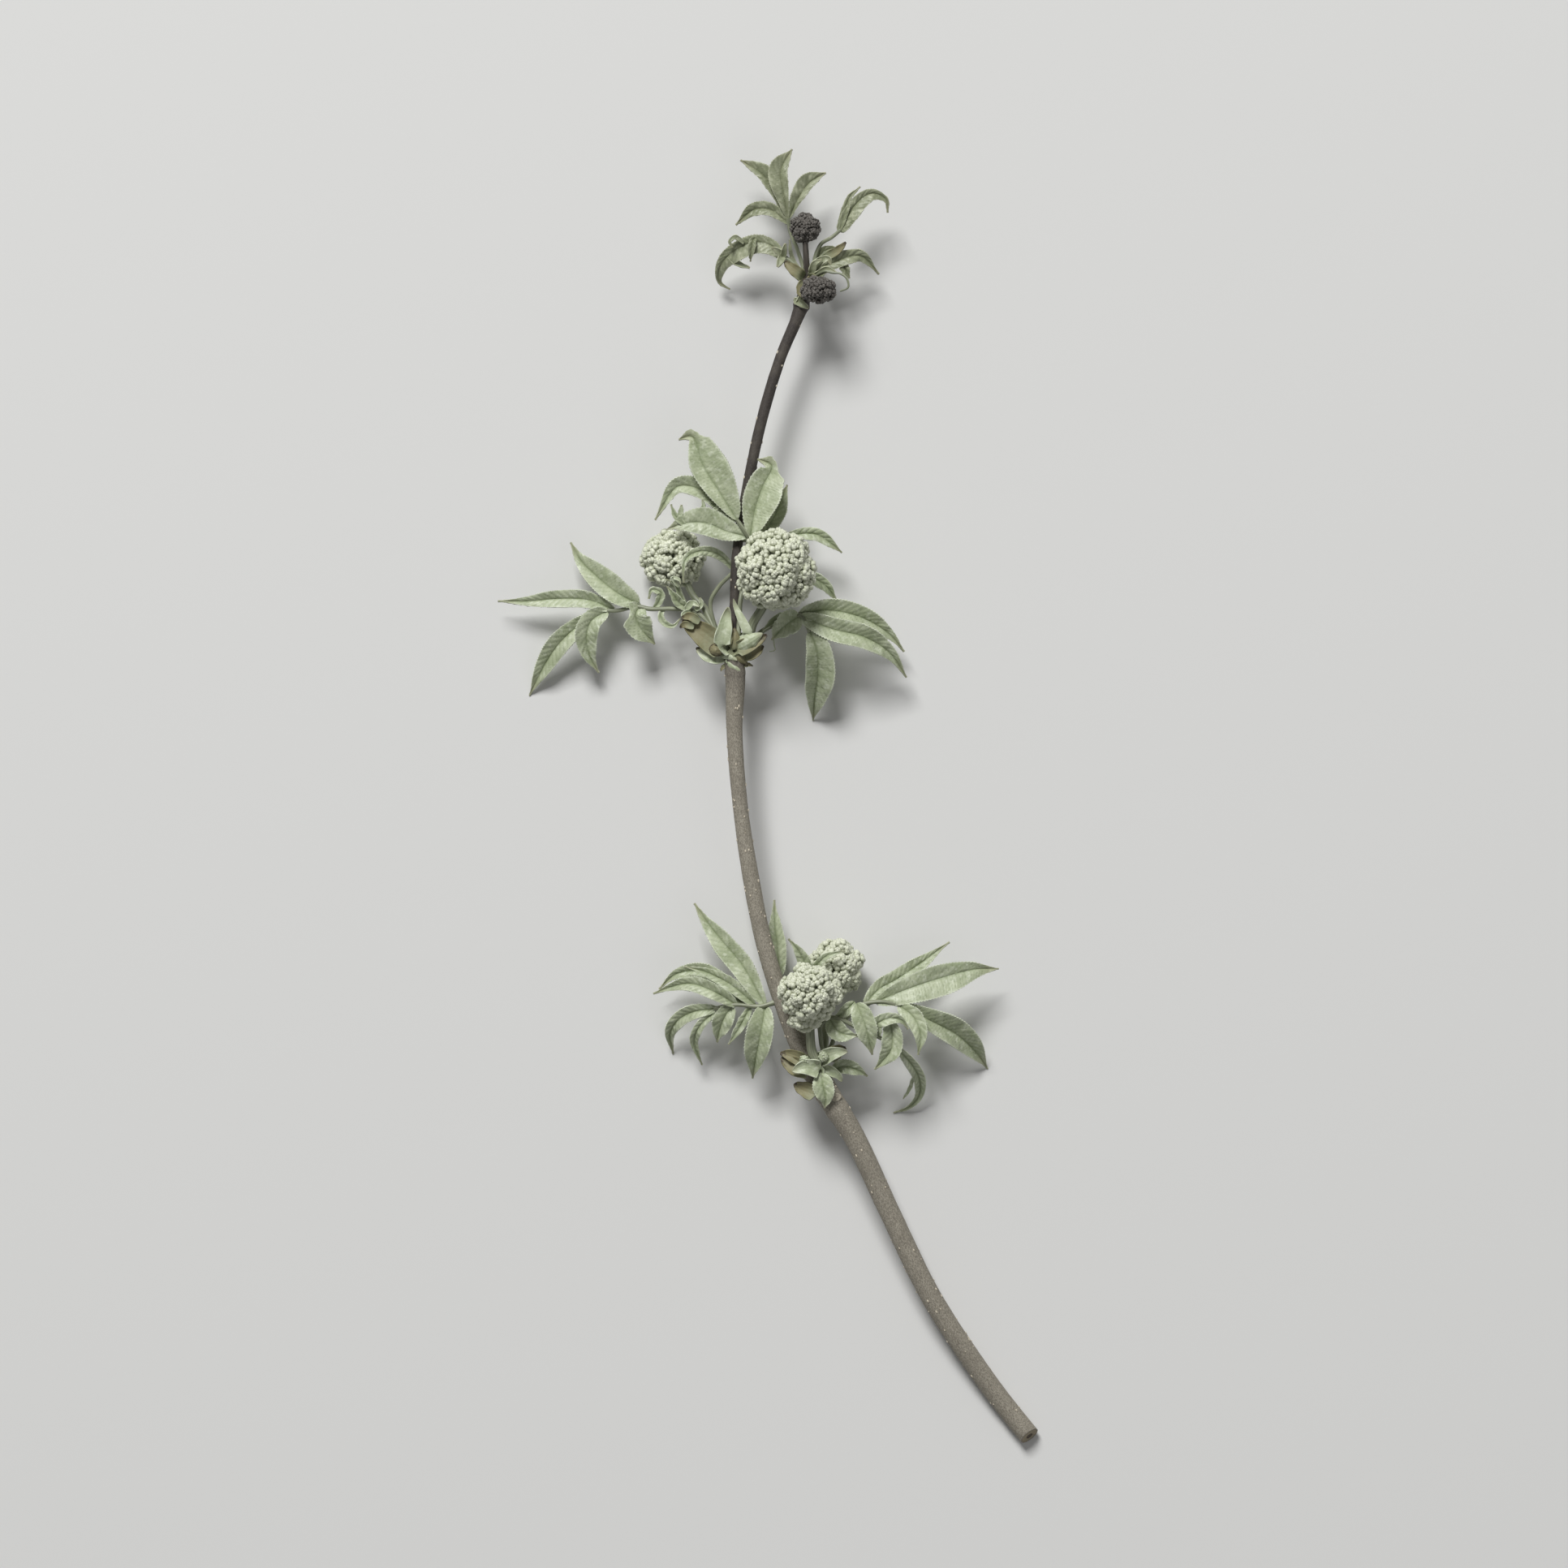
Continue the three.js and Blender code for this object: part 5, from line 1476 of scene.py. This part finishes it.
        Stalk([(8.2, 130.4, 10.6), (6.4, 136, 10.2), (4.8, 140, 10.5), (4.2, 143.4, 11.2)], (0.5, 0.5)),
    ], [
        Blade([(4, 143.2, 11.2), (1, 149.4, 11.5), (-2, 154, 11.5), (-7.6, 157.8, 10.5)],
               3, 22, (0.9, 1.7), 0.6),
        Blade([(4.2, 143.2, 11.3), (3, 150, 12.5), (2.4, 155, 12.6), (5.2, 160.4, 12)],
               3.8, 22, (1.6, 0.9), 0.6),
        Blade([(4.4, 143, 11.2), (6.6, 148, 12), (9.4, 152, 12.2), (13.6, 154.6, 11.6)],
               3.2, 22, (1.6, 0.9), 0.6),
        Blade([(4.4, 142, 11), (0, 145.4, 11), (-4, 145.6, 10.4), (-8.8, 141.8, 9)],
               3, 22, (1.1, 1.2), 0.5),
    ]),
    CompoundLeaf("leaf_top_right", [
        Stalk([(10.6, 129.6, 12.2), (10.8, 133.4, 12.6), (12.4, 137, 12.6), (15, 138.6, 12.8),
               (17.2, 140.4, 13)], (0.5, 0.45)),
    ], [
        Blade([(17, 140, 13), (19, 144, 13.4), (21.6, 147.4, 13.4), (25, 149.4, 13), (28.4, 147.8, 12.4),
               (28.8, 144.6, 11.8)], 3.2, 20, (1, 1.5), 0.34),
        Blade([(16.6, 139.8, 13), (18.2, 145, 13.8), (19.4, 148.4, 14), (22, 151, 14)], 2, 18),
        Blade([(10.6, 131, 12.4), (14, 131.8, 12.4), (19, 133.8, 12), (22.4, 134, 10.5),
               (26.8, 129.6, 7.6)], 3.6, 20),
        Blade([(17, 133, 12.2), (18.4, 130.6, 12), (19.4, 128.4, 11.4)], 2.4, 18),
        Blade([(10.6, 133, 12.5), (14, 135.6, 11.8), (16.8, 136, 11.4)], 2.4, 18),
    ]),
    CompoundLeaf("leaf_top_left", [
        Stalk([(7.4, 129.6, 12.6), (5.6, 132, 13), (3, 134, 12.6)], (0.5, 0.5)),
    ], [
        Blade([(3.4, 133.6, 12.6), (0, 136.6, 12.4), (-4, 137.4, 12), (-9, 135.4, 10.5), (-12.4, 132, 8),
               (-12.8, 128, 5), (-10, 126.2, 4)], 4.8, 11, (1.2, 0.8)),
        Blade([(-3.7, 138.6, 12.6), (-4.4, 137.8, 13.5), (-4.9, 135, 13.3), (-5.1, 132.4, 12)], 1.9, 15),
    ]),
]

LAMPS = [
    Lamp("key_lamp", (-0.85, 2.6, 2.75), 1.25, 148.0),
    Lamp("fill_lamp", (0.9, -0.9, 1.6), 1.4, 2.5),
]


class ElderBranch:
    """The whole cut branch and its finishes."""

    def __init__(self) -> None:
        """Makes the finishes that its pieces share."""
        self.leaf = LeafFinish().build()
        # Its rim colour is the painted light along the margins, and the pale flecks.
        self.young_leaf = LeafFinish(
            name="young_elder_leaf", blade="#9da286", hollow="#848a6d", vein="#73785c", rim="#bdc0a5"
        ).build()
        self.bud = BudFinish().build()
        self.dark_bud = BudFinish(
            name="dark_elder_bud", crown="#6e6a64", base="#44403c", core="#262422", roughness=0.5
        ).build()
        self.stalk = StalkFinish().build()
        self.dark_stalk = StalkFinish(name="dark_elder_stalk", skin="#56514a", rib="#3c3833").build()
        self.bark = BarkFinish().build()
        self.wood = CutWoodFinish("cut_wood", "#a79c86", "#857a66").build()
        self.pith = CutWoodFinish("elder_pith", "#5d5446", "#453d33").build()
        self.scale = ScaleFinish().build()

    def build(self) -> None:
        """Builds every piece in the place of its CAD node."""
        Stem().build(self.bark, self.wood, self.pith)
        for head in HEADS:
            dark = head.slot == "dark_buds"
            head.build(self.dark_bud if dark else self.bud, self.dark_stalk if dark else self.stalk)
        for leaf in LEAVES:
            leaf.build(self.young_leaf if leaf.is_young else self.leaf, self.stalk)
        for group in SCALES:
            group.build(self.scale)
        for bracts in LOOSE_BRACTS:
            young = bracts.name.endswith("top")
            bracts.build(self.young_leaf if young else self.leaf, self.scale, self.stalk)


def main() -> None:
    """Loads the frame, dresses it and sets the studio."""
    logging.basicConfig(level=logging.INFO)
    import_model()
    ElderBranch().build()
    Studio(LAMPS).build()


if __name__ == "__main__":
    main()
